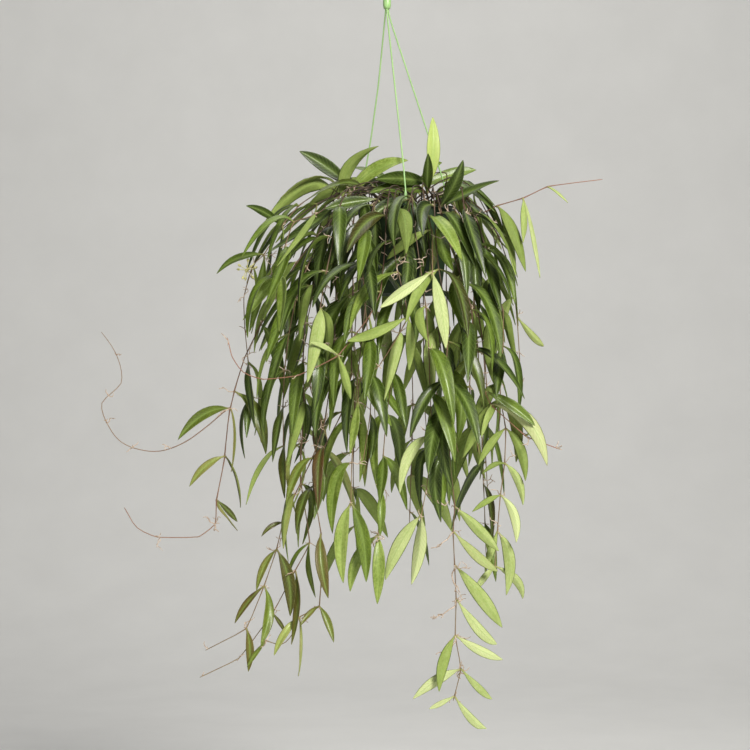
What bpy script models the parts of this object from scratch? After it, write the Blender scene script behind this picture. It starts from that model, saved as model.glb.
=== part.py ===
"""A narrow-leaved trailing hoya in a hanging plastic pot with a three-strand hanger.

Metres, +Z up. The origin is the seat of the hook: the highest point inside its crook, where a rail
carries the whole weight. +X is to the viewer's right and the viewer looks along +Y.
"""
import math
import random
from collections import namedtuple

import bmesh
import bpy
from mathutils import Vector
from mathutils.bvhtree import BVHTree

# Sizes of the pot, a common 14 cm hanging pot
POT_X = 0.024
RIM_Z = -0.329
POT_HEIGHT = 0.118
RIM_RADIUS = 0.0700
WALL_TOP_RADIUS = 0.0635
FOOT_RADIUS = 0.0490
WALL = 0.0018
FLANGE = 0.0026
POT_SIDES = 32
STRAND_HOLE_RADIUS = 0.0018
STRAND_RING_RADIUS = 0.0670
DRAIN_HOLES = 6
DRAIN_RADIUS = 0.0040

# Sizes of the hanger
ROD_RADIUS = 0.0022
CROOK_RADIUS = 0.0100
COLLAR_TOP_Z = -0.046
COLLAR_FOOT_Z = -0.0605
COLLAR_RADIUS = 0.0054
STRAND_RADIUS = 0.0010
SOCKET_OFFSET = 0.0022
SOCKET_DEPTH = 0.0070
STRANDS = (("front", 270.0), ("left", 150.0), ("right", 30.0))

# Sizes of the soil and the stems
SOIL_Z = RIM_Z - 0.012
HOLE_DEPTH = 0.022
HOLE_RINGS = (0.024, 0.037, 0.050)
CREST_RADIUS = 0.079
STEM_SIDES = 3
STEM_RADIUS = 0.0015
STEM_TIP_RADIUS = 0.0009
NODE_HALF = 0.0022
BUD = 0.004
SHOOT_RADIUS = 0.0011
SHOOT_START = 0.003
UMBEL_SIDES = 6

# A leaf: its thickness, how far its edges rise beside the keel, its stalk, and how wide it is along itself
LEAF_THICKNESS = 0.0016
LEAF_CHANNEL = 0.22
PETIOLE_HALF = 0.0014
LEAF_STATIONS = ((0.07, 0.0), (0.34, 0.95), (0.70, 0.88))

# How many of a node's first and second leaves are there, in front and at the sides and back
FRONT_LEAVES = (1.0, 0.78)
SIDE_LEAVES = (0.74, 0.36)

# Where a route's first node is: so many millimetres before the crest, and less or more by the route's own
# figure. The internodes are as long as the route says up to just past the crest, and then longer.
FIRST_NODE = 20.0
CREST_REACH = 0.020
INTERNODE = 1.22

# How high the leaves placed by rule reach, in front of the crown's own leaves and behind them, and how wide
# the plant is seen in front, at two levels
FRONT_SIDE = -0.040
FRONT_TOP = -0.324
BACK_TOP = -0.290
SIDE_LEVELS = (-0.262, -0.392)
LEFT_SIDE = (-0.120, -0.188)
RIGHT_SIDE = (0.116, 0.174)

# The air that separates what is solid, and how much larger the copies are that are tested for room
GAP = 0.0003
STEM_ROOM = 0.0009
STEM_SKIN = 0.0004
LEAF_ROOM = 0.0011

# How many ways each stem and each leaf is tried, and how far a stem's crest and the points of its route
# may move, which grows with the root of the number of tries
STEM_TRIES = 420
LEAF_TRIES = 60
CREST_SHIFT = 0.0011
NUDGE = 0.0005

# Stems, or single nodes of stems, whose known leaves turn their pale underside to the viewer, and stems
# that are laid before the rest
UNDER_SHOWN = ("long_right", "right_edge", "right_whip", "pale_front", "mid_hook", "right_inner",
               ("front_mid", 1), ("pink_whip", 2), ("right_shoot", 3))
CROWN = ("crown_left", "crown_right", "crown_front", "crown_back", "crown_low_right", "crown_low_front")
LAID_FIRST = CROWN + ("right_whip", "pale_front")

# How far before a plainly seen leaf no leaf placed by rule hangs
SIGHT_DEPTH = 0.050

SEED = 25

MM = 0.001

# Each stem that can be told apart in front: its crest above the rim, the distance from the crest to its
# first leaves, its first and last internode, its first and last leaf length, the points it hangs through,
# and which of those points are nodes. All in millimetres. Then come the leaves that can be told apart: the
# point that each grows from, where its tip is, and how far it arches as a share of its length.
Route = namedtuple("Route", "name crest first internode leaf via nodes aims")
ROUTES = [
    Route("long_right", 12, 8, (42, 46), (112, 88),
          via=[(60, -118, -445), (75, -138, -587), (80, -140, -674), (86, -140, -724),
               (84, -140, -756), (86, -138, -799), (88, -136, -843), (87, -135, -890),
               (94, -133, -933), (85, -130, -972)],
          nodes=[3, 4, 5, 6, 7, 8, 9],
          aims=[(3, (142, -150, -780), -0.12), (4, (141, -146, -806), -0.20), (5, (147, -140, -879), -0.10),
                (6, (139, -140, -901), -0.34), (7, (148, -140, -920), -0.14), (7, (63, -150, -960), 0.02),
                (8, (133, -135, -966), -0.26), (8, (32, -150, -969), 0.12), (9, (128, -132, -1010), -0.34),
                (9, (69, -132, -987), -0.10)]),
    Route("right_inner", 14, -6, (36, 40), (105, 80),
          via=[(117, -62, -353), (135, -92, -431), (142, -104, -509), (146, -110, -587),
               (152, -112, -626), (150, -112, -670), (146, -110, -712), (141, -108, -759),
               (138, -106, -806)],
          nodes=[3, 4, 5, 6, 7, 8],
          aims=[(3, (160, -120, -672), 0.10), (3, (117, -125, -639), 0.14), (4, (176, -120, -691), 0.10),
                (4, (120, -118, -670), 0.16), (5, (164, -118, -720), 0.10), (5, (122, -125, -680), 0.28),
                (6, (157, -112, -761), 0.08), (6, (109, -120, -732), 0.14), (7, (147, -112, -832), 0.08),
                (7, (125, -118, -812), 0.06), (8, (140, -108, -846), 0.08), (8, (126, -120, -835), 0.10)]),
    Route("right_edge", 16, 18, (34, 36), (105, 80),
          via=[(146, -22, -363), (165, -32, -421), (173, -36, -478), (176, -36, -524),
               (178, -36, -570)],
          nodes=[2, 3, 4],
          aims=[(2, (210, -45, -520), -0.34)]),
    Route("right_whip", 26, 12, (30, 30), (110, 80),
          via=[(116, -30, -340), (147, -32, -329), (181, -34, -319), (214, -36, -304),
               (249, -38, -299), (283, -40, -295)],
          nodes=[1, 2, 3, 4],
          aims=[(1, (184, -45, -418), 0.22), (1, (166, -60, -424), 0.22), (2, (180, -50, -380), 0.05),
                (2, (211, -45, -405), 0.12), (3, (238, -50, -322), 0.18)]),
    Route("right_shoot", 18, 28, (40, 40), (112, 84),
          via=[(96, -122, -445), (118, -128, -561), (127, -129, -580), (142, -128, -600),
               (164, -127, -618), (181, -125, -630), (216, -120, -652)],
          nodes=[2, 3, 5],
          aims=[(2, (184, -142, -622), -0.04), (2, (105, -142, -550), 0.05), (3, (120, -140, -636), 0.16),
                (3, (158, -138, -674), 0.10), (5, (197, -130, -624), 0.10)]),
    Route("mid_low", 16, -8, (40, 46), (108, 84),
          via=[(16, -140, -472), (3, -152, -612), (-5, -152, -704), (-15, -150, -767)],
          nodes=[2, 3],
          aims=[(2, (-6, -160, -761), 0.05), (3, (-14, -150, -845), 0.05), (3, (-28, -140, -831), 0.06)]),
    Route("mid_pair", 20, 30, (42, 46), (110, 92),
          via=[(-30, -136, -484), (-44, -150, -612), (-46, -152, -676), (-46, -152, -722)],
          nodes=[3],
          aims=[(3, (-58, -150, -818), 0.05), (3, (-30, -158, -817), 0.05)]),
    Route("mid_hook", 14, -10, (44, 46), (110, 92),
          via=[(47, -142, -484), (57, -150, -587), (58, -152, -666), (48, -152, -699),
               (43, -152, -730)],
          nodes=[3, 4],
          aims=[(4, (-3, -152, -817), 0.02), (4, (32, -152, -817), 0.02)]),
    Route("low_left", 18, -8, (42, 44), (108, 72),
          via=[(-72, -118, -484), (-91, -134, -626), (-113, -134, -703), (-133, -133, -741),
               (-137, -131, -789), (-158, -128, -832), (-190, -124, -879), (-233, -120, -917)],
          nodes=[3, 4, 5, 6],
          aims=[(3, (-164, -140, -769), 0.22), (4, (-168, -137, -831), 0.12), (4, (-141, -142, -858), 0.06),
                (5, (-196, -140, -872), 0.04), (5, (-166, -134, -897), 0.06),
                (6, (-185, -127, -932), 0.05)]),
    Route("low_left_mid", 20, 26, (42, 44), (108, 76),
          via=[(-98, -110, -471), (-108, -126, -600), (-109, -128, -689), (-106, -128, -765),
               (-122, -126, -809), (-151, -122, -859), (-173, -120, -891), (-194, -118, -918),
               (-239, -114, -945)],
          nodes=[3, 4, 5, 7],
          aims=[(3, (-88, -138, -845), 0.05), (3, (-115, -122, -814), 0.10), (4, (-131, -134, -889), 0.04),
                (5, (-139, -124, -881), 0.05)]),
    Route("low_mid", 14, -6, (42, 44), (110, 84),
          via=[(-54, -128, -458), (-64, -144, -587), (-74, -146, -689), (-84, -144, -766),
               (-83, -142, -822), (-92, -141, -848), (-115, -138, -878), (-140, -136, -897),
               (-162, -134, -901)],
          nodes=[3, 5, 6, 8],
          aims=[(3, (-74, -150, -842), 0.05), (5, (-69, -142, -898), 0.08), (5, (-112, -150, -876), 0.10),
                (6, (-126, -142, -930), 0.10), (6, (-143, -132, -924), 0.12),
                (8, (-181, -132, -915), 0.10)]),
    Route("left_long", 22, -6, (38, 40), (110, 70),
          via=[(-120, -70, -406), (-162, -82, -483), (-189, -84, -543), (-209, -84, -599),
               (-215, -84, -630), (-218, -84, -664), (-222, -84, -714), (-226, -84, -753),
               (-244, -84, -765), (-272, -83, -768), (-300, -82, -764), (-328, -81, -752),
               (-346, -80, -731)],
          nodes=[3, 5, 6, 7, 8, 10],
          aims=[(3, (-209, -96, -677), 0.05), (3, (-274, -88, -640), 0.24), (5, (-259, -88, -701), 0.14),
                (5, (-195, -92, -724), 0.05), (6, (-212, -98, -747), -0.05), (6, (-205, -82, -750), 0.16)]),
    Route("pink_whip", 24, 30, (44, 44), (105, 80),
          via=[(-10, -146, -452), (-24, -160, -481), (-63, -172, -530), (-86, -176, -546),
               (-116, -178, -556), (-159, -178, -560), (-187, -178, -548), (-197, -178, -531),
               (-202, -178, -511)],
          nodes=[1, 2, 4, 5, 7],
          aims=[(1, (-30, -176, -545), 0.05), (2, (-98, -186, -514), 0.14), (2, (-47, -184, -586), -0.08)]),
    Route("left_edge", 20, 6, (30, 40), (116, 86),
          via=[(-159, -36, -383), (-186, -46, -445), (-186, -54, -515), (-176, -60, -588),
               (-165, -62, -641)],
          nodes=[],
          aims=[]),
    Route("left_inner", 16, -8, (34, 42), (112, 84),
          via=[(-106, -96, -418), (-129, -108, -509), (-135, -112, -613), (-132, -112, -686)],
          nodes=[],
          aims=[]),
    Route("front_left", 16, -10, (34, 44), (115, 88),
          via=[(-74, -116, -393), (-90, -132, -484), (-92, -138, -574), (-84, -138, -638)],
          nodes=[],
          aims=[]),
    Route("front_mid_left", 12, 20, (34, 44), (112, 90),
          via=[(-33, -136, -394), (-25, -156, -498), (-20, -160, -587), (-30, -158, -658)],
          nodes=[],
          aims=[]),
    Route("front_mid", 16, -6, (34, 44), (115, 92),
          via=[(8, -142, -403), (24, -164, -487), (-9, -168, -543), (-33, -168, -565),
               (-40, -166, -593)],
          nodes=[1, 2, 3, 4],
          aims=[(1, (-52, -176, -512), -0.10), (1, (24, -174, -550), 0.05), (3, (5, -174, -620), 0.05),
                (4, (-48, -172, -658), 0.06), (4, (-30, -176, -683), 0.05)]),
    Route("front_mid_right", 12, 18, (34, 44), (112, 88),
          via=[(64, -126, -402), (70, -150, -498), (76, -156, -587), (82, -156, -651)],
          nodes=[],
          aims=[]),
    Route("front_right", 14, -10, (34, 44), (112, 86),
          via=[(83, -120, -388), (106, -132, -484), (108, -136, -582), (116, -134, -654)],
          nodes=[],
          aims=[]),
    Route("right_upper", 16, -8, (34, 42), (108, 84),
          via=[(119, -84, -378), (147, -88, -470), (152, -88, -548), (147, -86, -627)],
          nodes=[],
          aims=[]),
    Route("pale_front", 26, 16, (26, 28), (112, 96),
          via=[(57, -112, -366), (62, -138, -396), (56, -156, -427)],
          nodes=[0, 2],
          aims=[(0, (1, -132, -404), 0.04), (0, (28, -142, -428), 0.06), (2, (-10, -172, -470), -0.06),
                (2, (74, -165, -522), 0.05)]),
    Route("crown_low_right", 4, 10, (30, 30), (112, 100),
          via=[(68, -62, -334), (76, -72, -356)],
          nodes=[0, 1],
          aims=[(0, (98, -112, -276), 0.02), (0, (136, -112, -303), 0.12), (1, (101, -106, -388), 0.20),
                (1, (92, -122, -411), 0.12)]),
    Route("left_crest", 30, 8, (28, 30), (118, 96),
          via=[(-105, -50, -323), (-139, -72, -359), (-162, -80, -394), (-171, -82, -407)],
          nodes=[1, 2],
          aims=[(1, (-184, -104, -335), 0.10), (1, (-183, -92, -430), 0.24), (2, (-221, -80, -424), 0.16),
                (2, (-177, -96, -496), 0.05)]),
    Route("left_crest_low", 18, 8, (28, 32), (122, 100),
          via=[(-93, -84, -334), (-124, -110, -362), (-139, -122, -409), (-144, -124, -458)],
          nodes=[],
          aims=[]),
    Route("crown_low_front", 0, 10, (30, 30), (112, 100),
          via=[(26, -52, -320), (28, -76, -326)],
          nodes=[1],
          aims=[(1, (-36, -104, -367), 0.12), (1, (2, -114, -388), 0.10)]),
    Route("crown_left", 0, 10, (30, 30), (118, 110),
          via=[(-16, -4, -314), (-44, -12, -306), (-60, -26, -326)],
          nodes=[1, 2],
          aims=[(1, (-118, -10, -254), 0.06), (1, (-121, -22, -319), 0.03), (2, (28, -46, -270), 0.26),
                (2, (-4, -72, -281), 0.10)]),
    Route("crown_right", 0, 10, (30, 30), (112, 80),
          via=[(42, -10, -320), (54, -18, -312), (60, -14, -294)],
          nodes=[1, 2],
          aims=[(1, (54, -60, -262), 0.05), (1, (-24, -54, -314), 0.10), (2, (61, -18, -209), 0.02),
                (2, (-16, -66, -297), 0.08)]),
    Route("crown_front", 0, 10, (30, 30), (115, 110),
          via=[(-6, -48, -318), (-14, -74, -324)],
          nodes=[1],
          aims=[(1, (-82, -92, -338), 0.05), (1, (25, -128, -431), 0.10)]),
    Route("crown_back", 0, 10, (30, 30), (118, 110),
          via=[(34, 30, -313), (43, 50, -298), (15, 58, -305)],
          nodes=[1, 2],
          aims=[(1, (124, 70, -271), 0.12), (1, (75, 96, -263), 0.12), (2, (-51, 80, -267), 0.15),
                (2, (-79, 100, -305), 0.20)]),
]


def clear_scene():
    for item in list(bpy.data.objects):
        bpy.data.objects.remove(item, do_unlink=True)


def material(name, colour, roughness, specular=0.5):
    made = bpy.data.materials.new(name)
    made.use_nodes = True
    shader = made.node_tree.nodes["Principled BSDF"]
    shader.inputs["Base Color"].default_value = (*colour, 1.0)
    shader.inputs["Roughness"].default_value = roughness
    shader.inputs["Specular IOR Level"].default_value = specular
    made.diffuse_color = (*colour, 1.0)
    return made


def add_mesh(name, verts, faces, made=None, smooth=False):
    mesh = bpy.data.meshes.new(name)
    mesh.from_pydata([tuple(v) for v in verts], [], faces)
    mesh.validate()
    bm = bmesh.new()
    bm.from_mesh(mesh)
    bmesh.ops.recalc_face_normals(bm, faces=bm.faces)
    bm.to_mesh(mesh)
    bm.free()
    item = bpy.data.objects.new(name, mesh)
    bpy.context.scene.collection.objects.link(item)
    if made:
        mesh.materials.append(made)
    if smooth:
        mesh.shade_smooth()
    return item


def cut(item, cutter):
    """Take the cutter's solids out of the item."""
    cutter.hide_render = True
    cutter.display_type = "WIRE"
    modifier = item.modifiers.new("cut_" + cutter.name, "BOOLEAN")
    modifier.operation = "DIFFERENCE"
    modifier.solver = "EXACT"
    modifier.object = cutter


def lathe(profile, sides, centre):
    """Turn a closed outline of (radius, height) about a vertical axis; radius 0 is a point on the axis."""
    verts = []
    rows = []
    for radius, height in profile:
        if radius == 0.0:
            rows.append([len(verts)] * sides)
            verts.append(Vector((centre[0], centre[1], height)))
            continue
        rows.append(list(range(len(verts), len(verts) + sides)))
        for k in range(sides):
            turn = 2.0 * math.pi * k / sides
            place = (centre[0] + radius * math.cos(turn), centre[1] + radius * math.sin(turn), height)
            verts.append(Vector(place))
    faces = []
    for a, b in zip(rows, rows[1:]):
        for k in range(sides):
            j = (k + 1) % sides
            corners = [a[k], a[j], b[j], b[k]]
            face = [v for i, v in enumerate(corners) if v != corners[i - 1]]
            if len(face) > 2:
                faces.append(face)
    return verts, faces


def prisms(places, radius, low, high, sides):
    """Upright prisms, all in one mesh, for cutting round holes."""
    verts = []
    faces = []
    for x, y in places:
        first = len(verts)
        for height in (low, high):
            for k in range(sides):
                turn = 2.0 * math.pi * (k + 0.5) / sides
                verts.append(Vector((x + radius * math.cos(turn), y + radius * math.sin(turn), height)))
        faces.append([first + k for k in reversed(range(sides))])
        faces.append([first + sides + k for k in range(sides)])
        for k in range(sides):
            j = (k + 1) % sides
            faces.append([first + k, first + j, first + sides + j, first + sides + k])
    return verts, faces


def frames_along(points, start=None):
    """Tangents and a pair of side directions that turn as little as possible along the points."""
    tangents = []
    for i in range(len(points)):
        ahead = points[min(i + 1, len(points) - 1)] - points[max(i - 1, 0)]
        tangents.append(ahead.normalized())
    first = start if start else Vector((1.0, 0.0, 0.0))
    side = (first - first.dot(tangents[0]) * tangents[0]).normalized()
    sides = [side]
    for a, b in zip(tangents, tangents[1:]):
        side = a.rotation_difference(b) @ side
        side = (side - side.dot(b) * b).normalized()
        sides.append(side)
    return tangents, sides


def tube(points, radii, sides, start=None):
    """A rod through the points with a radius at each, closed by a flat face at both ends."""
    tangents, across = frames_along(points, start)
    verts = []
    for place, tangent, u, radius in zip(points, tangents, across, radii):
        v = tangent.cross(u)
        for k in range(sides):
            turn = 2.0 * math.pi * k / sides
            verts.append(place + radius * (math.cos(turn) * u + math.sin(turn) * v))
    faces = [[k for k in reversed(range(sides))]]
    last = len(verts) - sides
    for i in range(len(points) - 1):
        for k in range(sides):
            j = (k + 1) % sides
            faces.append([i * sides + k, i * sides + j, (i + 1) * sides + j, (i + 1) * sides + k])
    faces.append([last + k for k in range(sides)])
    return verts, faces


def catmull(points, steps=14):
    """A smooth curve through the points; returns the samples and the sample number of each point."""
    ends = [2 * points[0] - points[1]] + list(points) + [2 * points[-1] - points[-2]]
    samples = [points[0].copy()]
    marks = [0]
    for i in range(1, len(ends) - 2):
        p0, p1, p2, p3 = ends[i - 1:i + 3]
        t1 = max(1e-6, (p1 - p0).length ** 0.5)
        t2 = t1 + max(1e-6, (p2 - p1).length ** 0.5)
        t3 = t2 + max(1e-6, (p3 - p2).length ** 0.5)
        for k in range(1, steps + 1):
            t = t1 + (t2 - t1) * k / steps
            a1 = p0 * ((t1 - t) / t1) + p1 * (t / t1)
            a2 = p1 * ((t2 - t) / (t2 - t1)) + p2 * ((t - t1) / (t2 - t1))
            a3 = p2 * ((t3 - t) / (t3 - t2)) + p3 * ((t - t2) / (t3 - t2))
            b1 = a1 * ((t2 - t) / t2) + a2 * (t / t2)
            b2 = a2 * ((t3 - t) / (t3 - t1)) + a3 * ((t - t1) / (t3 - t1))
            samples.append(b1 * ((t2 - t) / (t2 - t1)) + b2 * ((t - t1) / (t2 - t1)))
        marks.append(len(samples) - 1)
    return samples, marks


# The hook and its collar

def hook_path(steps):
    """Points and radii of the rod: from the crook's tip over the top, down the shank and the collar."""
    rod = CROOK_RADIUS + ROD_RADIUS
    points = []
    radii = []
    for k in range(steps + 1):
        turn = math.radians(205.0 - 205.0 * k / steps)
        points.append(Vector((rod * math.cos(turn), 0.0, rod * math.sin(turn) - CROOK_RADIUS)))
        radii.append(ROD_RADIUS * (0.8 if k == 0 else 1.0))
    for x, z in ((0.0108, -0.0185), (0.0060, -0.0270), (0.0016, -0.0340), (0.0, -0.0400)):
        points.append(Vector((x, 0.0, z)))
        radii.append(ROD_RADIUS)
    for radius, z in ((ROD_RADIUS, -0.0452), (COLLAR_RADIUS * 0.86, COLLAR_TOP_Z), (COLLAR_RADIUS, -0.0475),
                      (COLLAR_RADIUS, -0.0560), (COLLAR_RADIUS * 0.84, COLLAR_FOOT_Z)):
        points.append(Vector((0.0, 0.0, z)))
        radii.append(radius)
    return points, radii


def build_hook():
    points, radii = hook_path(10)
    verts, faces = tube(points, radii, 8, Vector((0.0, 1.0, 0.0)))
    hook = add_mesh("hanger_hook", verts, faces, material("hanger_green", (0.34, 0.62, 0.20), 0.38), True)
    places = []
    for _, bearing in STRANDS:
        turn = math.radians(bearing)
        places.append((SOCKET_OFFSET * math.cos(turn), SOCKET_OFFSET * math.sin(turn)))
    top = COLLAR_FOOT_Z + SOCKET_DEPTH
    verts, faces = prisms(places, STRAND_RADIUS + 0.0005, COLLAR_FOOT_Z - 0.002, top, 6)
    cut(hook, add_mesh("collar_sockets", verts, faces))


# The three strands: a socket end, a long rod, a sleeve above the rim, a head and a tail under it

def strand_path(name, bearing):
    turn = math.radians(bearing)
    out = Vector((math.cos(turn), math.sin(turn), 0.0))
    top = SOCKET_OFFSET * out
    foot = Vector((POT_X, 0.0, 0.0)) + STRAND_RING_RADIUS * out
    bow = {"front": -0.001, "left": 0.004, "right": 0.0}[name]
    span = foot - top
    radius = STRAND_RADIUS
    rows = [(top, COLLAR_FOOT_Z + SOCKET_DEPTH - GAP, radius), (top, COLLAR_FOOT_Z - 0.004, radius),
            (top + 0.05 * span, -0.080, radius)]
    for k in (0.35, 0.7, 0.92):
        level = -0.080 + k * (RIM_Z + 0.030 + 0.080)
        rows.append((top + (0.05 + 0.93 * k) * span - bow * math.sin(k * math.pi) * out, level, radius))
    rows.append((foot, RIM_Z + 0.018, radius))
    rows.append((foot, RIM_Z + 0.013, 0.0021))
    rows.append((foot, RIM_Z + GAP + 0.0010, 0.0023))
    rows.append((foot, RIM_Z + GAP, 0.0014))
    rows.append((foot, RIM_Z - FLANGE - GAP, 0.0014))
    rows.append((foot, RIM_Z - FLANGE - GAP - 0.0006, 0.0026))
    rows.append((foot, RIM_Z - FLANGE - 0.0052, 0.0014))
    rows.append((foot + 0.0015 * out, RIM_Z - 0.0160, 0.0013))
    rows.append((foot + 0.0045 * out, RIM_Z - 0.0270, 0.0015))
    points = [Vector((place.x, place.y, level)) for place, level, _ in rows]
    return points, [row[2] for row in rows]


def build_strands():
    for name, bearing in STRANDS:
        points, radii = strand_path(name, bearing)
        verts, faces = tube(points, radii, 6)
        green = material("strand_green_" + name, (0.36, 0.66, 0.24), 0.40)
        add_mesh("hanger_strand_" + name, verts, faces, green, True)


# The pot and the soil

def pot_profile():
    low = RIM_Z - POT_HEIGHT
    under = RIM_Z - FLANGE
    inner_top = WALL_TOP_RADIUS - WALL
    inner_foot = FOOT_RADIUS - WALL
    return [(0.0, low + 0.0030), (FOOT_RADIUS - 0.0060, low + 0.0030), (FOOT_RADIUS - 0.0050, low),
            (FOOT_RADIUS - 0.0008, low), (FOOT_RADIUS, low + 0.0010), (WALL_TOP_RADIUS, under),
            (RIM_RADIUS - 0.0003, under), (RIM_RADIUS, under + 0.0008), (RIM_RADIUS, RIM_Z - 0.0006),
            (RIM_RADIUS - 0.0006, RIM_Z), (inner_top, RIM_Z), (inner_foot, low + 0.0052),
            (0.0, low + 0.0052)]


def build_pot():
    verts, faces = lathe(pot_profile(), POT_SIDES, (POT_X, 0.0))
    pot = add_mesh("pot", verts, faces, material("pot_green", (0.030, 0.060, 0.026), 0.42))
    places = []
    for _, bearing in STRANDS:
        turn = math.radians(bearing)
        places.append((POT_X + STRAND_RING_RADIUS * math.cos(turn), STRAND_RING_RADIUS * math.sin(turn)))
    holes = prisms(places, STRAND_HOLE_RADIUS, RIM_Z - FLANGE - 0.001, RIM_Z + 0.001, 8)
    cut(pot, add_mesh("strand_holes", *holes))
    low = RIM_Z - POT_HEIGHT
    places = [(POT_X, 0.0)]
    for k in range(DRAIN_HOLES):
        turn = 2.0 * math.pi * k / DRAIN_HOLES
        places.append((POT_X + 0.028 * math.cos(turn), 0.028 * math.sin(turn)))
    holes = prisms(places, DRAIN_RADIUS, low + 0.001, low + 0.0054, 8)
    cut(pot, add_mesh("drain_holes", *holes))


def soil_radius(height):
    """Inner radius of the pot at a height, less the gap."""
    low = RIM_Z - POT_HEIGHT + 0.0052
    share = (height - low) / (RIM_Z - low)
    inner = (FOOT_RADIUS - WALL) + share * (WALL_TOP_RADIUS - FOOT_RADIUS)
    return inner - GAP * 1.1


def soil_profile():
    low = RIM_Z - POT_HEIGHT + 0.0052 + GAP
    return [(0.0, low), (soil_radius(low), low), (soil_radius(SOIL_Z), SOIL_Z), (0.0, SOIL_Z)]


def build_soil(holes):
    verts, faces = lathe(soil_profile(), POT_SIDES, (POT_X, 0.0))
    soil = add_mesh("soil", verts, faces, material("soil_brown", (0.045, 0.028, 0.018), 0.95, 0.1))
    radius = (STEM_RADIUS + GAP) / math.cos(math.pi / 4) + 0.0001
    cutters = prisms(holes, radius, SOIL_Z - HOLE_DEPTH - GAP, SOIL_Z + 0.002, 4)
    cut(soil, add_mesh("stem_holes", *cutters))


# Stems: routes, curves and rings

def side_routes():
    """Stems at the sides and the back, by rule: they hang from the rim all the way round."""
    routes = []
    rng = random.Random(SEED)
    bearings = [-14.0 + 208.0 * k / 12 for k in range(13)]
    for number, bearing in enumerate(bearings):
        turn = math.radians(bearing + rng.uniform(-5.0, 5.0))
        drop = rng.uniform(150.0, 420.0) if number % 2 else rng.uniform(300.0, 470.0)
        via = []
        steps = max(2, round(drop / 95.0))
        for k in range(1, steps + 1):
            share = k / steps
            reach = 98.0 + 34.0 * math.sin(min(1.0, share * 1.3) * 1.6) + rng.uniform(-8.0, 8.0)
            reach -= 18.0 * math.cos(turn)
            sway = turn + rng.uniform(-0.05, 0.05)
            level = RIM_Z / MM - 30.0 - drop * share
            via.append((POT_X / MM + reach * math.cos(sway), reach * math.sin(sway), level))
        length = rng.uniform(82.0, 92.0)
        first = 14 if number % 2 else -8
        routes.append(Route("side", 10 + 16 * (number % 3), first, (36, 44), (116, length), via, [], []))
    for number in range(5):
        turn = math.radians(4.0 + 46.0 * number + rng.uniform(-6.0, 6.0))
        via = []
        for reach, level in ((92.0, 24.0), (116.0, -22.0), (126.0, -75.0)):
            via.append((POT_X / MM + reach * math.cos(turn), reach * math.sin(turn), RIM_Z / MM + level))
        routes.append(Route("crest", 34 + 10 * (number % 2), 8, (30, 36), (120, 100), via, [], []))
    return routes


def bearing_of(route):
    x, y, _ = route.via[0]
    return math.atan2(y, x - POT_X / MM)


def assign_holes(routes):
    """One hole for each stem, in the order of their bearings, on three rings in turn."""
    order = sorted(range(len(routes)), key=lambda i: bearing_of(routes[i]))
    holes = [None] * len(routes)
    for rank, index in enumerate(order):
        turn = -math.pi + 2.0 * math.pi * rank / len(routes)
        spare = rank >= len(routes) - len(routes) % 3
        radius = HOLE_RINGS[2 - rank % 2 if spare else rank % 3]
        holes[index] = (POT_X + radius * math.cos(turn), radius * math.sin(turn))
    return holes


def route_points(route, hole, shift, nudges):
    """The points that a stem passes through, from the foot of its hole.

    The shift moves the crest, and half as much the depth of the rest. Each point has a nudge of its own too.
    """
    x, y = hole
    rise = SOIL_Z + 0.010 + abs(shift.y) * 1.5
    points = [Vector((x, y, SOIL_Z - HOLE_DEPTH)), Vector((x, y, SOIL_Z)), Vector((x, y, rise))]
    marks = []
    sink = Vector((0.0, shift.y * 0.5, 0.0))
    via = [Vector(place) * MM + sink + nudge for place, nudge in zip(route.via, nudges)]
    if route.crest:
        turn = bearing_of(route)
        reach = CREST_RADIUS
        middle = Vector((POT_X + reach * math.cos(turn), reach * math.sin(turn), RIM_Z + route.crest * MM))
        points.append(middle + Vector((shift.x, shift.y, 0.3 * abs(shift.z))))
    crest = len(points) - 1
    for place in via:
        marks.append(len(points))
        points.append(place)
    return points, crest, marks


Span = namedtuple("Span", "ring faces via")

# Bare shoots that leave a stem at one of its points: the stem, the point, and the shoot's own points
SHOOTS = [
    ("left_long", 3, [(-253, -82, -635), (-276, -78, -648), (-300, -76, -655), (-325, -75, -653),
                      (-350, -72, -643), (-367, -70, -622), (-376, -68, -592), (-351, -66, -566),
                      (-355, -64, -534), (-367, -62, -512), (-378, -60, -498)]),
]


def side_quad(i, k):
    """The four corners of one side of a stem between ring i and the next."""
    j = (k + 1) % STEM_SIDES
    low = STEM_SIDES * i
    high = low + STEM_SIDES
    return [low + k, low + j, high + j, high + k]


class Stem:
    """One stem: its ring centres, their frames and radii, and the spans that carry leaves."""

    def __init__(self, name, points, spans, start):
        self.name = name
        self.points = points
        self.spans = spans
        self.tangents, self.across = frames_along(points, start)
        count = len(points)
        self.radii = []
        for i in range(count):
            share = max(0.0, (i - 3) / max(1, count - 4))
            self.radii.append(STEM_RADIUS + (STEM_TIP_RADIUS - STEM_RADIUS) * share)
        self.leaves = []
        self.shoots = {}

    def ring(self, i, extra=0.0):
        u = self.across[i]
        v = self.tangents[i].cross(u)
        reach = self.radii[i] + extra
        corners = []
        for k in range(STEM_SIDES):
            turn = 2.0 * math.pi * k / STEM_SIDES
            corners.append(self.points[i] + reach * (math.cos(turn) * u + math.sin(turn) * v))
        return corners

    def side(self, i, face):
        """Outward direction of one of the sides at a ring."""
        u = self.across[i]
        v = self.tangents[i].cross(u)
        turn = 2.0 * math.pi * (face + 0.5) / STEM_SIDES
        return (math.cos(turn) * u + math.sin(turn) * v).normalized()

    def solid(self, extra):
        verts = []
        for i in range(len(self.points)):
            verts.extend(self.ring(i, extra))
        faces = []
        for i in range(len(self.points) - 1):
            for k in range(STEM_SIDES):
                faces.append(side_quad(i, k))
        return verts, faces


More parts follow.
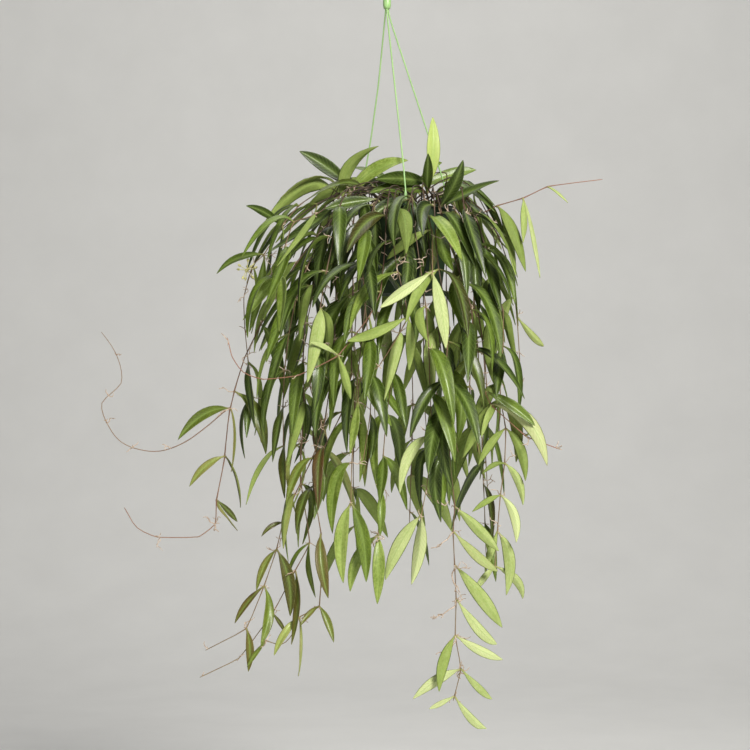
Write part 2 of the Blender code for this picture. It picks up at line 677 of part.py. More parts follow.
def along(samples, lengths, distance):
    """The point at a distance along the sampled curve."""
    low = 0
    high = len(lengths) - 1
    while high - low > 1:
        middle = (low + high) // 2
        if lengths[middle] <= distance:
            low = middle
        else:
            high = middle
    share = (distance - lengths[low]) / max(1e-9, lengths[high] - lengths[low])
    return samples[low].lerp(samples[high], min(1.0, max(0.0, share)))


def node_places(route, lengths, crest_mark, marks):
    """Distances along the stem at which leaves grow, with the route's own point for each, or None."""
    total = lengths[-1]
    fixed = [(lengths[marks[k]], k) for k in route.nodes]
    stop = fixed[0][0] if fixed else total + 0.001
    places = []
    crest = lengths[crest_mark]
    at = crest + (route.first - FIRST_NODE) * MM
    while at < stop - 0.6 * route.internode[0] * MM:
        places.append((at, None))
        share = at / total
        step = route.internode[0] + (route.internode[1] - route.internode[0]) * share
        at += step * (1.0 if at < crest + CREST_REACH else INTERNODE) * MM
    places.extend(fixed)
    return [(min(at, total - 1.6 * NODE_HALF), via) for at, via in places if at < total + 0.0005]


def ring_stops(nodes, lengths, marks):
    """Distances of the stem's rings, and after each whether a node follows, with the route's own point."""
    stops = [0.0, lengths[marks[1]], lengths[marks[2]]]
    kinds = [None, None, None]
    for at, via in nodes:
        if at - NODE_HALF <= stops[-1] + 0.004:
            continue
        stops.extend((at - NODE_HALF, at + NODE_HALF))
        kinds.extend(("node", via))
    if lengths[-1] - stops[-1] > 0.004:
        stops.append(lengths[-1])
        kinds.append(None)
    return stops, kinds


def rings_between(samples, lengths, low, high):
    """Extra ring centres where the stem bends between two stops."""
    before = along(samples, lengths, low + 0.001) - along(samples, lengths, low)
    after = along(samples, lengths, high) - along(samples, lengths, high - 0.001)
    extra = min(5, int(before.angle(after, 0.0) / math.radians(34.0)))
    return [along(samples, lengths, low + (high - low) * k / (extra + 1)) for k in range(1, extra + 1)]


def make_stem(route, hole, shift, nudges):
    points, crest, marks = route_points(route, hole, shift, nudges)
    samples, sample_marks = catmull(points)
    lengths = [0.0]
    for a, b in zip(samples, samples[1:]):
        lengths.append(lengths[-1] + (b - a).length)
    nodes = node_places(route, lengths, sample_marks[crest], [sample_marks[m] for m in marks])
    stops, kinds = ring_stops(nodes, lengths, sample_marks)
    rings = []
    spans = []
    for index, stop in enumerate(stops):
        if index and kinds[index - 1] != "node":
            rings.extend(rings_between(samples, lengths, stops[index - 1], stop))
        if kinds[index] == "node":
            faces = (len(spans) % STEM_SIDES, (len(spans) + 1) % STEM_SIDES)
            spans.append(Span(len(rings), faces, kinds[index + 1]))
        rings.append(along(samples, lengths, stop))
    turn = bearing_of(route)
    start = Vector((math.cos(turn + 0.785), math.sin(turn + 0.785), 0.0))
    return Stem(route.name, rings, spans, start)


# Leaves: a curve from the stem's side to the tip, and rings of three points along it

Leaf = namedtuple("Leaf", "base side bend tip normal half")


def leaf_curve(leaf, share):
    a = leaf.base.lerp(leaf.bend, share)
    b = leaf.bend.lerp(leaf.tip, share)
    return a.lerp(b, share)


def leaf_frame(leaf, share):
    a = leaf.base.lerp(leaf.bend, share)
    b = leaf.bend.lerp(leaf.tip, share)
    tangent = (b - a).normalized()
    normal = leaf.normal - leaf.normal.dot(tangent) * tangent
    if normal.length < 0.15:
        normal = leaf.side - leaf.side.dot(tangent) * tangent
    normal.normalize()
    return tangent, normal, tangent.cross(normal)


def leaf_rings(leaf, extra=0.0):
    """Rings of three points: the two edges of the channelled blade, and its keel."""
    rings = []
    for share, width in LEAF_STATIONS:
        place = leaf_curve(leaf, share)
        tangent, normal, across = leaf_frame(leaf, share)
        half = max(PETIOLE_HALF, width * leaf.half)
        lift = LEAF_CHANNEL * half if width else 0.5 * PETIOLE_HALF
        keel = 0.5 * LEAF_THICKNESS if width else 0.8 * PETIOLE_HALF
        out = place + (lift + extra) * normal
        half += extra
        rings.append([out + half * across, place - (keel + extra) * normal, out - half * across])
    tip = leaf.tip + extra * (leaf.tip - leaf.bend).normalized()
    return rings, tip


def band(a, b, verts):
    """Side triangles between two rings of three points, each side split so that it bulges outward."""
    middle = sum((verts[v] for v in a + b), Vector()) / 6
    faces = []
    for k in range(3):
        j = (k + 1) % 3
        rising = (verts[a[k]] + verts[b[j]]) / 2 - middle
        falling = (verts[a[j]] + verts[b[k]]) / 2 - middle
        outward = (verts[b[j]] - verts[a[k]]).cross(verts[b[k]] - verts[a[j]])
        if outward.dot(rising + falling) < 0.0:
            outward = -outward
        if rising.dot(outward) > falling.dot(outward):
            faces.extend([[a[k], a[j], b[j]], [a[k], b[j], b[k]]])
        else:
            faces.extend([[a[k], a[j], b[k]], [a[j], b[j], b[k]]])
    return faces


def root_faces(quad, ring, verts):
    """Triangles from the four corners of a stem's side to a leaf's first ring, with the least twist."""
    corners = [verts[v] for v in quad]
    points = [verts[v] for v in ring]
    middle_a = sum(corners, Vector()) / 4
    middle_b = sum(points, Vector()) / 3
    best = None
    for turn in range(4):
        for shift in range(3):
            total = 0.0
            for k, m in ((0, 0), (1, 1), (2, 1), (3, 2)):
                a = (corners[(k + turn) % 4] - middle_a).normalized()
                total += a.dot((points[(m + shift) % 3] - middle_b).normalized())
            if best is None or total > best[0]:
                best = (total, turn, shift)
    _, turn, shift = best
    q = [quad[(k + turn) % 4] for k in range(4)]
    r = [ring[(m + shift) % 3] for m in range(3)]
    return [[q[0], q[1], r[1]], [q[0], r[1], r[0]], [q[1], q[2], r[1]], [q[2], q[3], r[2]],
            [q[2], r[2], r[1]], [q[3], q[0], r[0]], [q[3], r[0], r[2]]]


def leaf_solid(leaf, extra):
    """A closed, slightly larger copy of the blade, from its petiole on, for testing what is clear."""
    rings, tip = leaf_rings(leaf, extra)
    middle = sum(rings[0], Vector()) / 3
    start = leaf.base + (middle - leaf.base) * 0.36
    rings.insert(0, [start + (v - middle) * 0.75 for v in rings[0]])
    verts = [v for ring in rings for v in ring] + [tip]
    faces = [[2, 1, 0]]
    for i in range(len(rings) - 1):
        faces.extend(band([3 * i + k for k in range(3)], [3 * i + 3 + k for k in range(3)], verts))
    last = 3 * (len(rings) - 1)
    for k in range(3):
        faces.append([last + k, last + (k + 1) % 3, len(verts) - 1])
    return verts, faces


class Room:
    """What is already standing, for testing whether something new is clear of it."""

    def __init__(self):
        self.items = []

    def add(self, verts, faces):
        tree = BVHTree.FromPolygons(verts, faces)
        low = [min(v[i] for v in verts) for i in range(3)]
        high = [max(v[i] for v in verts) for i in range(3)]
        self.items.append((low, high, tree))

    def clear(self, verts, faces):
        low = [min(v[i] for v in verts) for i in range(3)]
        high = [max(v[i] for v in verts) for i in range(3)]
        tree = None
        for other_low, other_high, other in self.items:
            if low[0] > other_high[0] or low[1] > other_high[1] or low[2] > other_high[2]:
                continue
            if high[0] < other_low[0] or high[1] < other_low[1] or high[2] < other_low[2]:
                continue
            tree = tree or BVHTree.FromPolygons(verts, faces)
            if tree.overlap(other):
                return False
        return True


def wander(rng, size):
    return Vector((rng.gauss(0.0, size), rng.gauss(0.0, size), rng.gauss(0.0, size)))


def half_width(length):
    return 0.5 * min(0.125 * length + 0.0062, 0.19 * length)


def ruled_leaf(stem, span, face, length, rng, urge):
    """A leaf that leaves the stem sideways and hangs, its upper side turned outward."""
    ring = span.ring
    side = stem.side(ring, face)
    base = (stem.points[ring] + stem.points[ring + 1]) / 2 + side * stem.radii[ring] * 0.7
    tangent = stem.tangents[ring]
    out = Vector((base.x - POT_X, base.y, 0.0)).normalized()
    flat = Vector((side.x, side.y, 0.0))
    fall = min(1.0, max(0.0, (RIM_Z - base.z) / 0.24))
    spread = (0.80 * (1.0 - fall) ** 1.4 + 0.12) * rng.uniform(0.4, 1.3)
    hang = Vector((0.0, 0.0, -1.0)) + flat * rng.uniform(0.20, 0.80) + out * spread
    rise = rng.uniform(0.0, 0.06)
    if tangent.z > -0.45:
        level = Vector((side.x, side.y, max(0.0, side.z)))
        hang = level * rng.uniform(0.25, 0.70) + out * rng.uniform(0.55, 1.0)
        hang.z += rng.uniform(-0.85, -0.25) if tangent.z < 0.4 else rng.uniform(-0.55, 0.12)
        rise = rng.uniform(0.12, 0.22)
    hang = (hang + wander(rng, 0.14) + out * 0.35 * urge).normalized()
    lift = Vector((0.0, 0.0, rng.uniform(0.0, 0.35)))
    away = (side * 0.9 + tangent * 0.25 + out * 0.15 + lift).normalized()
    tip = base + hang * length
    bend = base + away * length * rng.uniform(0.24, 0.38) + hang * length * 0.12
    bend.z += rise * length
    normal = out * 0.95 + Vector((0.0, 0.0, 0.45)) + side * 0.35 + wander(rng, 0.34)
    if rng.random() < 0.10:
        normal = -normal
    across = hang.cross(normal).normalized()
    bend += across * length * rng.uniform(-0.08, 0.08)
    return Leaf(base, side, bend, tip, normal, half_width(length) * rng.uniform(0.92, 1.08))


def shows_under(stem, via):
    return stem.name in UNDER_SHOWN or (stem.name, via) in UNDER_SHOWN


def aimed_leaf(stem, span, face, target, rise, rng, attempt):
    """A leaf whose tip is where the photograph shows it. The rise is how far it arches, or sags if minus."""
    ring = span.ring
    side = stem.side(ring, face)
    base = (stem.points[ring] + stem.points[ring + 1]) / 2 + side * stem.radii[ring] * 0.7
    tip = Vector(target) * MM + wander(rng, 0.0007 * attempt) + side * 0.0006 * attempt
    reach = tip - base
    length = reach.length
    out = Vector((base.x - POT_X, base.y, 0.0)).normalized()
    lean = Vector((0.0, 0.0, rise)) + side * (0.13 + 0.008 * attempt) + out * 0.05
    bend = base + reach * 0.42 + lean * length
    viewer = Vector((0.0, -1.0, 0.0))
    normal = out * 0.4 + viewer * 0.9 + Vector((0.0, 0.0, 0.35)) + wander(rng, 0.16 + 0.03 * attempt)
    if shows_under(stem, span.via):
        normal = -normal
    return Leaf(base, side, bend, tip, normal, half_width(length) * (1.15 if stem.name in CROWN else 1.0))


def within_outline(leaf):
    """True where a leaf keeps inside the plant's sides at the level of its tip, and below its top."""
    point = leaf.tip
    middle = leaf_curve(leaf, 0.4)
    if max(point.z, middle.z) > (FRONT_TOP if middle.y < FRONT_SIDE else BACK_TOP):
        return False
    high, low = SIDE_LEVELS
    share = min(1.0, max(0.0, (high - point.z) / (high - low)))
    left = LEFT_SIDE[0] + (LEFT_SIDE[1] - LEFT_SIDE[0]) * share
    right = RIGHT_SIDE[0] + (RIGHT_SIDE[1] - RIGHT_SIDE[0]) * share
    return left < point.x < right


def free_face(stem, span, target, taken):
    """The free side of the stem that looks most towards the target."""
    ring = span.ring
    toward = (Vector(target) * MM - stem.points[ring]).normalized()
    faces = [k for k in range(STEM_SIDES) if k not in taken]
    return max(faces, key=lambda k: stem.side(ring, k).dot(toward))


def grow_aimed(number, stem, route, room):
    """The stem's leaves whose tips are known, each clear of what stands; returns how many had no room."""
    missed = 0
    for span_index, span in enumerate(stem.spans):
        aims = [aim[1:] for aim in route.aims if aim[0] == span.via]
        taken = [stem.shoots[span_index]] if span_index in stem.shoots else []
        for target, rise in aims:
            face = free_face(stem, span, target, taken)
            taken.append(face)
            for attempt in range(LEAF_TRIES):
                rng = random.Random("%d-%d-%d-%d" % (number, span_index, face, attempt))
                leaf = aimed_leaf(stem, span, face, target, rise, rng, attempt)
                if settle(stem, span_index, face, leaf, room):
                    break
            else:
                missed += 1
    return missed


def grow_ruled(number, stem, route, room):
    """The leaves of a stem by rule, each clear of what stands; returns how many found no room."""
    missed = 0
    total = len(stem.spans)
    for span_index, span in enumerate(stem.spans):
        if span.via is not None:
            continue
        share = span_index / max(1, total - 1)
        base_length = (route.leaf[0] + (route.leaf[1] - route.leaf[0]) * share) * MM
        for order, face in enumerate(span.faces):
            pick = random.Random("%d/%d/%d" % (number, span_index, face))
            keep = (SIDE_LEAVES if route.name == "side" else FRONT_LEAVES)[order]
            if pick.random() > keep:
                continue
            length = base_length * pick.uniform(0.88, 1.14)
            for attempt in range(LEAF_TRIES):
                rng = random.Random("%d-%d-%d-%d" % (number, span_index, face, attempt))
                urge = attempt / LEAF_TRIES
                leaf = ruled_leaf(stem, span, face, length * (1.0 - 0.35 * urge ** 2), rng, urge)
                if within_outline(leaf) and settle(stem, span_index, face, leaf, room):
                    break
            else:
                missed += 1
    return missed


def shoot_rings(places):
    """Rings of three points along a bare shoot that leaves its stem sideways, the second point lowest."""
    tangents, across = frames_along(places, Vector((0.0, 0.0, -1.0)))
    rings = []
    for i in range(len(places) - 1):
        u = across[i]
        v = tangents[i].cross(u)
        radius = SHOOT_RADIUS * (1.0 - 0.3 * i / len(places))
        corners = []
        for k in range(3):
            turn = 2.0 * math.pi * (k - 1) / 3
            corners.append(places[i] + radius * (math.cos(turn) * u + math.sin(turn) * v))
        rings.append(corners)
    return rings, places[-1]


def grow_shoots(stems, routes, room):
    """Draw the bare shoots out of their stems before any leaf is placed."""
    for name, via, places in SHOOTS:
        number = [route.name for route in routes].index(name)
        stem = stems[number]
        for span_index, span in enumerate(stem.spans):
            if span.via == via:
                break
        first = Vector(places[0]) * MM
        toward = first - stem.points[span.ring]
        face = max(range(STEM_SIDES), key=lambda k: stem.side(span.ring, k).dot(toward))
        side = stem.side(span.ring, face)
        base = (stem.points[span.ring] + stem.points[span.ring + 1]) / 2
        points = [base + side * SHOOT_START] + [Vector(place) * MM for place in places]
        samples, _ = catmull(points, 2)
        rings, tip = shoot_rings(samples)
        verts = [v for ring in rings for v in ring]
        faces = []
        for i in range(len(rings) - 1):
            faces.extend(band([3 * i + k for k in range(3)], [3 * i + 3 + k for k in range(3)], verts))
        room.add(verts, faces)
        stem.leaves.append((span_index, face, samples))
        stem.shoots[span_index] = face


def draw_out(quad, growth, verts):
    """The faces of a leaf or a bare shoot that takes the place of one side of the stem."""
    rings, tip = shoot_rings(growth) if isinstance(growth, list) else leaf_rings(growth)
    faces = []
    before = quad
    for ring in rings:
        now = list(range(len(verts), len(verts) + 3))
        verts.extend(ring)
        faces.extend(root_faces(quad, now, verts) if before is quad else band(before, now, verts))
        before = now
    verts.append(tip)
    for c in range(3):
        faces.append([before[c], before[(c + 1) % 3], len(verts) - 1])
    return faces


def crosses_itself(stem, span_index, face, leaf):
    """True where the leaf, drawn out of its stem, has a face that cuts another of its faces."""
    ring = stem.spans[span_index].ring
    verts = stem.ring(ring) + stem.ring(ring + 1)
    faces = draw_out(side_quad(0, face), leaf, verts)
    tree = BVHTree.FromPolygons(verts, faces)
    return any(a < b and not set(faces[a]) & set(faces[b]) for a, b in tree.overlap(tree))


def settle(stem, span_index, face, leaf, room):
    """Keep the leaf if it is sound and a slightly larger copy of it is clear of everything."""
    verts, faces = leaf_solid(leaf, LEAF_ROOM)
    if not room.clear(verts, faces) or crosses_itself(stem, span_index, face, leaf):
        return False
    room.add(verts, faces)
    stem.leaves.append((span_index, face, leaf))
    return True


def place_stems(routes, holes, room):
    """Lay the stems one after another, moving a stem a little until it is clear of the others.

    The crown's leaves are placed along with its stems, and the other stems then climb between them.
    """
    stems = [None] * len(routes)
    crossed = 0
    missed = 0
    for number in sorted(range(len(routes)), key=lambda i: (routes[i].name not in LAID_FIRST, i)):
        route = routes[number]
        hole = holes[number]
        for attempt in range(STEM_TRIES):
            rng = random.Random("stem-%d-%d-%d" % (SEED, number, attempt))
            growth = math.sqrt(attempt)
            shift = wander(rng, CREST_SHIFT * growth)
            nudges = [wander(rng, NUDGE * growth) for _ in route.via]
            stem = make_stem(route, hole, shift, nudges)
            if room.clear(*stem.solid(STEM_ROOM)):
                break
        else:
            crossed += 1
        room.add(*stem.solid(STEM_SKIN))
        stems[number] = stem
        if route.name in CROWN:
            missed += grow_aimed(number, stem, route, room)
    print("stems", len(stems), "crossed", crossed, "crown leaves without room", missed)
    return stems


def stem_mesh(stem):
    """One closed body: the stem, with each leaf drawn out of the side it grows from."""
    growths = {(stem.spans[span_index].ring, face): leaf for span_index, face, leaf in stem.leaves}
    leafy = {ring for ring, _ in growths}
    spare = {span.ring + 1 for span in stem.spans if span.ring not in leafy}
    kept = [i for i in range(len(stem.points)) if i not in spare]
    verts = [corner for i in kept for corner in stem.ring(i)]
    faces = [list(reversed(range(STEM_SIDES)))]
    for i in range(len(kept) - 1):
        for k in range(STEM_SIDES):
            quad = side_quad(i, k)
            growth = growths.get((kept[i], k))
            if growth is None:
                faces.append([quad[0], quad[1], quad[2]])
                faces.append([quad[0], quad[2], quad[3]])
            else:
                faces.extend(draw_out(quad, growth, verts))
    last = STEM_SIDES * (len(kept) - 1)
    verts.append(stem.points[-1] + stem.tangents[-1] * BUD)
    for k in range(STEM_SIDES):
        faces.append([last + k, last + (k + 1) % STEM_SIDES, len(verts) - 1])
    return verts, faces


# The small cluster of buds at the far left

def umbel_layout(stem):
    """Where the cluster hangs: its start, its axis, its knob, and the rings of the knob's surface."""
    start = stem.points[-1] + stem.tangents[-1] * (BUD + GAP)
    axis = stem.tangents[-1]
    knob = start + axis * 0.0140
    side = axis.orthogonal().normalized()
    other = axis.cross(side)
    rows = [(start + axis * 0.0012, 0.0008), (start + axis * 0.0120, 0.0008)]
    for k in range(4):
        turn = math.pi * (k + 0.7) / 4.4
        rows.append((knob - axis * 0.0028 * math.cos(turn), 0.0028 * math.sin(turn)))
    verts = []
    for place, radius in rows:
        for k in range(UMBEL_SIDES):
            turn = 2.0 * math.pi * k / UMBEL_SIDES
            verts.append(place + radius * (math.cos(turn) * side + math.sin(turn) * other))
    return start, axis, knob, verts


def umbel_rays(verts, knob):
    """The patches of the knob that carry a bud: their corners, their middle and the stalk's direction."""
    rng = random.Random(SEED + 5)
    rays = []
    for row in range(2, 5):
        for k in range(UMBEL_SIDES):
            if (row + k) % 2:
                continue
            low = row * UMBEL_SIDES
            j = (k + 1) % UMBEL_SIDES
            quad = [low + k, low + j, low + UMBEL_SIDES + j, low + UMBEL_SIDES + k]
            middle = sum((verts[v] for v in quad), Vector()) / 4
            reach = ((middle - knob).normalized() + wander(rng, 0.12)).normalized()
            rays.append((quad, middle, reach))
    return rays


def draw_bud(quad, middle, reach, verts):
    """The faces of a short stalk and its bud, drawn out of one patch of the knob."""
    faces = []
    before = quad
    for distance, half in ((0.0080, 0.0005), (0.0100, 0.0016), (0.0125, 0.0017)):
        now = []
        for v in quad:
            arm = verts[v] - middle
            arm = (arm - arm.dot(reach) * reach).normalized()
            now.append(len(verts))
            verts.append(middle + reach * distance + arm * half)
        for c in range(4):
            d = (c + 1) % 4
            faces.append([before[c], before[d], now[d], now[c]])
        before = now
    verts.append(middle + reach * 0.0142)
    for c in range(4):
        faces.append([before[c], before[(c + 1) % 4], len(verts) - 1])
    return faces


def umbel_mesh(stem):
    """Buds on short stalks drawn out of a small knob, just beyond the end of its stem."""
    start, axis, knob, verts = umbel_layout(stem)
    rays = umbel_rays(verts, knob)
    budded = {tuple(quad) for quad, _, _ in rays}
    faces = []
    for row in range(5):
        for k in range(UMBEL_SIDES):
            low = row * UMBEL_SIDES
            j = (k + 1) % UMBEL_SIDES
            quad = (low + k, low + j, low + UMBEL_SIDES + j, low + UMBEL_SIDES + k)
            if quad not in budded:
                faces.append(list(quad))
    verts.append(start)
    for k in range(UMBEL_SIDES):
        faces.append([len(verts) - 1, (k + 1) % UMBEL_SIDES, k])
    last = 5 * UMBEL_SIDES
    verts.append(knob + axis * 0.0032)
    for k in range(UMBEL_SIDES):
        faces.append([last + k, last + (k + 1) % UMBEL_SIDES, len(verts) - 1])
    for quad, middle, reach in rays:
        faces.extend(draw_bud(quad, middle, reach, verts))
    return verts, faces


def clear_view():
    """A slim upright sheet before the foot of the front strand, where nothing hangs across it."""
    foot = -STRAND_RING_RADIUS
    near = foot - 0.090
    corners = [(foot, 0.016), (near, 0.022), (near, 0.110), (foot, 0.110)]
    verts = []
    for x in (POT_X - 0.0016, POT_X + 0.0016):
        for y, height in corners:
            verts.append(Vector((x - 0.06 * (height - 0.016), y, RIM_Z + height)))
    faces = [[3, 2, 1, 0], [4, 5, 6, 7]]
    for k in range(4):
        j = (k + 1) % 4
        faces.append([k, j, 4 + j, 4 + k])
    return verts, faces


def sight_screen(leaf):
    """Walls from a blade toward the viewer, so that no leaf placed by rule hangs before it."""
    verts = []
    faces = []
    for i, share in enumerate((0.10, 0.35, 0.60, 0.85, 1.00)):
        place = leaf_curve(leaf, share)
        across = leaf_frame(leaf, share)[2] * leaf.half * min(1.0, 4.0 - 3.9 * share)
        for side in (-1, 0, 1):
            verts.append(place + side * across - Vector((0.0, 0.004, 0.0)))
            verts.append(place + side * across - Vector((0.0, SIGHT_DEPTH, 0.0)))
        if i:
            now = 6 * i
            faces.extend([[now - 6 + k, now - 5 + k, now + 1 + k, now + k] for k in (0, 2, 4)])
            faces.extend([[now - 5 + k, now - 3 + k, now + 3 + k, now + 1 + k] for k in (0, 2)])
    return verts, faces


def keep_in_sight(stems, room):
    """Screens before the pale leaves, which are plainly seen in front."""
    for stem in stems:
        for span_index, _, leaf in stem.leaves:
            via = stem.spans[span_index].via
            if via is not None and shows_under(stem, via):
                room.add(*sight_screen(leaf))


def grow_plant():
    """The whole plant by rule: its routes and holes, the stems, and every leaf that finds room."""
    room = Room()
    for name, bearing in STRANDS:
        points, radii = strand_path(name, bearing)
        room.add(*tube(points, [radius + 0.0006 for radius in radii], 6))
    room.add(*lathe(pot_profile(), POT_SIDES, (POT_X, 0.0)))
    room.add(*clear_view())
    routes = ROUTES + side_routes()
    holes = assign_holes(routes)
    stems = place_stems(routes, holes, room)
    room.add(*lathe(soil_profile(), POT_SIDES, (POT_X, 0.0)))
    umbel_stem = stems[[route.name for route in routes].index("left_crest")]
    room.add(*umbel_mesh(umbel_stem))
    grow_shoots(stems, routes, room)
    numbered = list(enumerate(zip(stems, routes)))
    others = [pair for pair in numbered if pair[1][1].name not in CROWN]
    missed = sum(grow_aimed(i, stem, route, room) for i, (stem, route) in others)
    print("known leaves without room", missed)
    keep_in_sight(stems, room)
    missed = sum(grow_ruled(i, stem, route, room) for i, (stem, route) in numbered)
    print("leaves", sum(len(stem.leaves) for stem in stems), "without room", missed)
    return routes, holes, stems, umbel_stem


def main():
    clear_scene()
    build_hook()
    build_strands()
    build_pot()
    routes, holes, stems, umbel_stem = grow_plant()
    build_soil(holes)
    verts, faces = umbel_mesh(umbel_stem)
    add_mesh("flower_umbel", verts, faces, material("umbel_cream", (0.78, 0.72, 0.38), 0.5))
    for number, stem in enumerate(stems):
        rng = random.Random("tone-%d" % number)
        tone = (0.10 + rng.uniform(-0.03, 0.05), 0.23 + rng.uniform(-0.05, 0.06), 0.045)
        verts, faces = stem_mesh(stem)
        add_mesh("trail_%02d" % number, verts, faces, material("leaf_green_%02d" % number, tone, 0.36))


main()
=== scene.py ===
# %% [markdown]
# # A narrow-leaved hoya in a hanging pot
# A trailing hoya hangs from a plastic hook by three thin strands. Its stems stand in dark potting bark,
# climb over the rim of the pot and hang down to more than half a metre below it, with pairs of thick,
# channelled, lance-shaped leaves. The measured model has every stem and leaf as a plain faceted solid.
# This lesson dresses it: the same rule that placed the stems and leaves is run again, and a finer blade,
# stem and root is made at each place. Nothing is moved and nothing changes size.

import math
import random
from collections import namedtuple

import bpy
import numpy as np
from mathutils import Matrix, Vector
from mathutils.bvhtree import BVHTree


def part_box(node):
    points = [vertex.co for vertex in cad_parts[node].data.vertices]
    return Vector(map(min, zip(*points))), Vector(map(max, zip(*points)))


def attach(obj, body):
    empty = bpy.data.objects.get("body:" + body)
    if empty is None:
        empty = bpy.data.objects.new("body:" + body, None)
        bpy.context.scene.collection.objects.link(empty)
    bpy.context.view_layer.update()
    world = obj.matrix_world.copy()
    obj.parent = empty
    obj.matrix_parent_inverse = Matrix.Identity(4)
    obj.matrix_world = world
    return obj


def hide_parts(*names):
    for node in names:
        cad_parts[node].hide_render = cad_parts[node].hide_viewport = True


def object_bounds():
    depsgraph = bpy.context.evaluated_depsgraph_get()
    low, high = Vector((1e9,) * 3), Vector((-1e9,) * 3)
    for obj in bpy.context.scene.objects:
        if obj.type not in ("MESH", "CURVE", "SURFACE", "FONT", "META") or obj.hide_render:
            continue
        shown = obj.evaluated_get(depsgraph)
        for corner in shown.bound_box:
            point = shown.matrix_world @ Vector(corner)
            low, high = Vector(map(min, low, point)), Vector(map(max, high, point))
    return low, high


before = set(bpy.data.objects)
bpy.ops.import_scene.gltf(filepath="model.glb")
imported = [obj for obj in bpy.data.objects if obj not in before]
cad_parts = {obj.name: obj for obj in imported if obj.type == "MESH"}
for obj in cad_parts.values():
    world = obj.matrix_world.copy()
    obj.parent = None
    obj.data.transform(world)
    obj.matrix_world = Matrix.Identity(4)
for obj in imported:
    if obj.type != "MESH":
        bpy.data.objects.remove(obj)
cad_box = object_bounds()
scene = bpy.context.scene
print("measured pieces", len(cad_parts), "box", [[round(float(v), 3) for v in c] for c in cad_box])

# %% [markdown]
# ## Camera
# The photograph is taken from straight ahead with a long lens, so the strands and the lowest leaves show
# almost no perspective. The camera looks level along +Y from 2.8 m away, and its field is set by how many
# metres of the pot's plane the picture is wide. The hook itself is just above the picture's upper edge.

# %% Camera
PICTURE_WIDTH = 1.0125
CAMERA_DISTANCE = 2.8
CAMERA_X = -0.0162
CAMERA_Z = -0.5549
SENSOR_MM = 36.0

camera_data = bpy.data.cameras.new("camera")
camera_data.sensor_width = SENSOR_MM
camera_data.lens = SENSOR_MM * CAMERA_DISTANCE / PICTURE_WIDTH
camera = bpy.data.objects.new("camera", camera_data)
camera.location = (CAMERA_X, -CAMERA_DISTANCE, CAMERA_Z)
camera.rotation_euler = (math.radians(90.0), 0.0, 0.0)
scene.collection.objects.link(camera)
scene.camera = camera
print("lens", round(camera_data.lens, 1), "mm")

# %% [markdown]
# ## Room and light
# The plant hangs free, so the floor is well below its lowest leaf. A wide pale floor and a pale world
# give soft light from all sides; one large panel from the upper right is the main light, because the
# leaves at the lower right are the brightest, and a weaker panel fills from the left. Two more light the
# leaves' edges from behind and the wall. Panels are large beside the plant, so that shadows among the
# leaves are soft but still deep inside the mass.

# %% Helpers that make a piece and give it to the plant
def make_piece(name, verts, faces, finish, numbers=None, smooth=True):
    """A mesh object with its finish, and a named number for each point that the finish can read."""
    mesh = bpy.data.meshes.new(name)
    mesh.from_pydata([tuple(v) for v in verts], [], faces)
    for key, values in (numbers or {}).items():
        layer = mesh.attributes.new(key, "FLOAT", "POINT")
        layer.data.foreach_set("value", np.asarray(values, dtype=np.float32))
    if smooth:
        mesh.shade_smooth()
    mesh.materials.append(finish)
    piece = bpy.data.objects.new(name, mesh)
    scene.collection.objects.link(piece)
    return piece


def hold_in_box(mesh):
    """Bring points that smoothing carried past the measured model's box back to its sides."""
    places = np.empty(len(mesh.vertices) * 3, dtype=np.float32)
    mesh.vertices.foreach_get("co", places)
    places = np.clip(places.reshape(-1, 3), cad_box[0], cad_box[1])
    mesh.vertices.foreach_set("co", places.ravel())


def dress(piece, *nodes, slot):
    """The piece belongs to the plant's one body and stands for these measured solids."""
    hold_in_box(piece.data)
    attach(piece, "root")
    if nodes:
        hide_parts(*nodes)
    return piece


# %% Helpers for finishes: each call adds one node and returns what comes out of it
def new_finish(name):
    made = bpy.data.materials.new(name)
    made.use_nodes = True
    return made, made.node_tree, made.node_tree.nodes["Principled BSDF"]


def put(tree, source, socket):
    if isinstance(source, bpy.types.NodeSocket):
        tree.links.new(source, socket)
    elif source is not None:
        socket.default_value = source


def feed(tree, shader, sources):
    """Link or set several of the shader's inputs."""
    for name, source in sources.items():
        put(tree, source, shader.inputs[name])


def step(tree, kind, sources, out=0, **settings):
    node = tree.nodes.new(kind)
    for key, value in settings.items():
        setattr(node, key, value)
    for key, source in sources.items():
        put(tree, source, node.inputs[key])
    return node.outputs[out]


def sums(tree, operation, a, b=None, c=None, clamp=False):
    return step(tree, "ShaderNodeMath", {0: a, 1: b, 2: c}, operation=operation, use_clamp=clamp)


def plus(tree, a, b, clamp=False):
    return sums(tree, "ADD", a, b, clamp=clamp)


def times(tree, a, b):
    return sums(tree, "MULTIPLY", a, b)


def scaled(tree, a, factor, shift):
    return sums(tree, "MULTIPLY_ADD", a, factor, shift)


def mixed(tree, share, a, b):
    return step(tree, "ShaderNodeMix", {0: share, 6: a, 7: b}, out=2, data_type="RGBA")


def tint(tree, base, mask, share, colour):
    """The base with a colour laid over it where the mask is high, at most by the share."""
    return mixed(tree, times(tree, mask, share), base, (*colour, 1.0))


def number(tree, name):
    return step(tree, "ShaderNodeAttribute", {}, out=2, attribute_name=name)


def noise(tree, vector, scale, detail=3.0, rough=0.55):
    wanted = {"Vector": vector, "Scale": scale, "Detail": detail, "Roughness": rough}
    return step(tree, "ShaderNodeTexNoise", wanted)


def ramp(tree, share, stops):
    node = tree.nodes.new("ShaderNodeValToRGB")
    tree.links.new(share, node.inputs[0])
    bar = node.color_ramp.elements
    while len(bar) < len(stops):
        bar.new(0.5)
    for element, (place, colour) in zip(bar, stops):
        element.position = place
        element.color = (*colour, 1.0)
    return node.outputs[0]


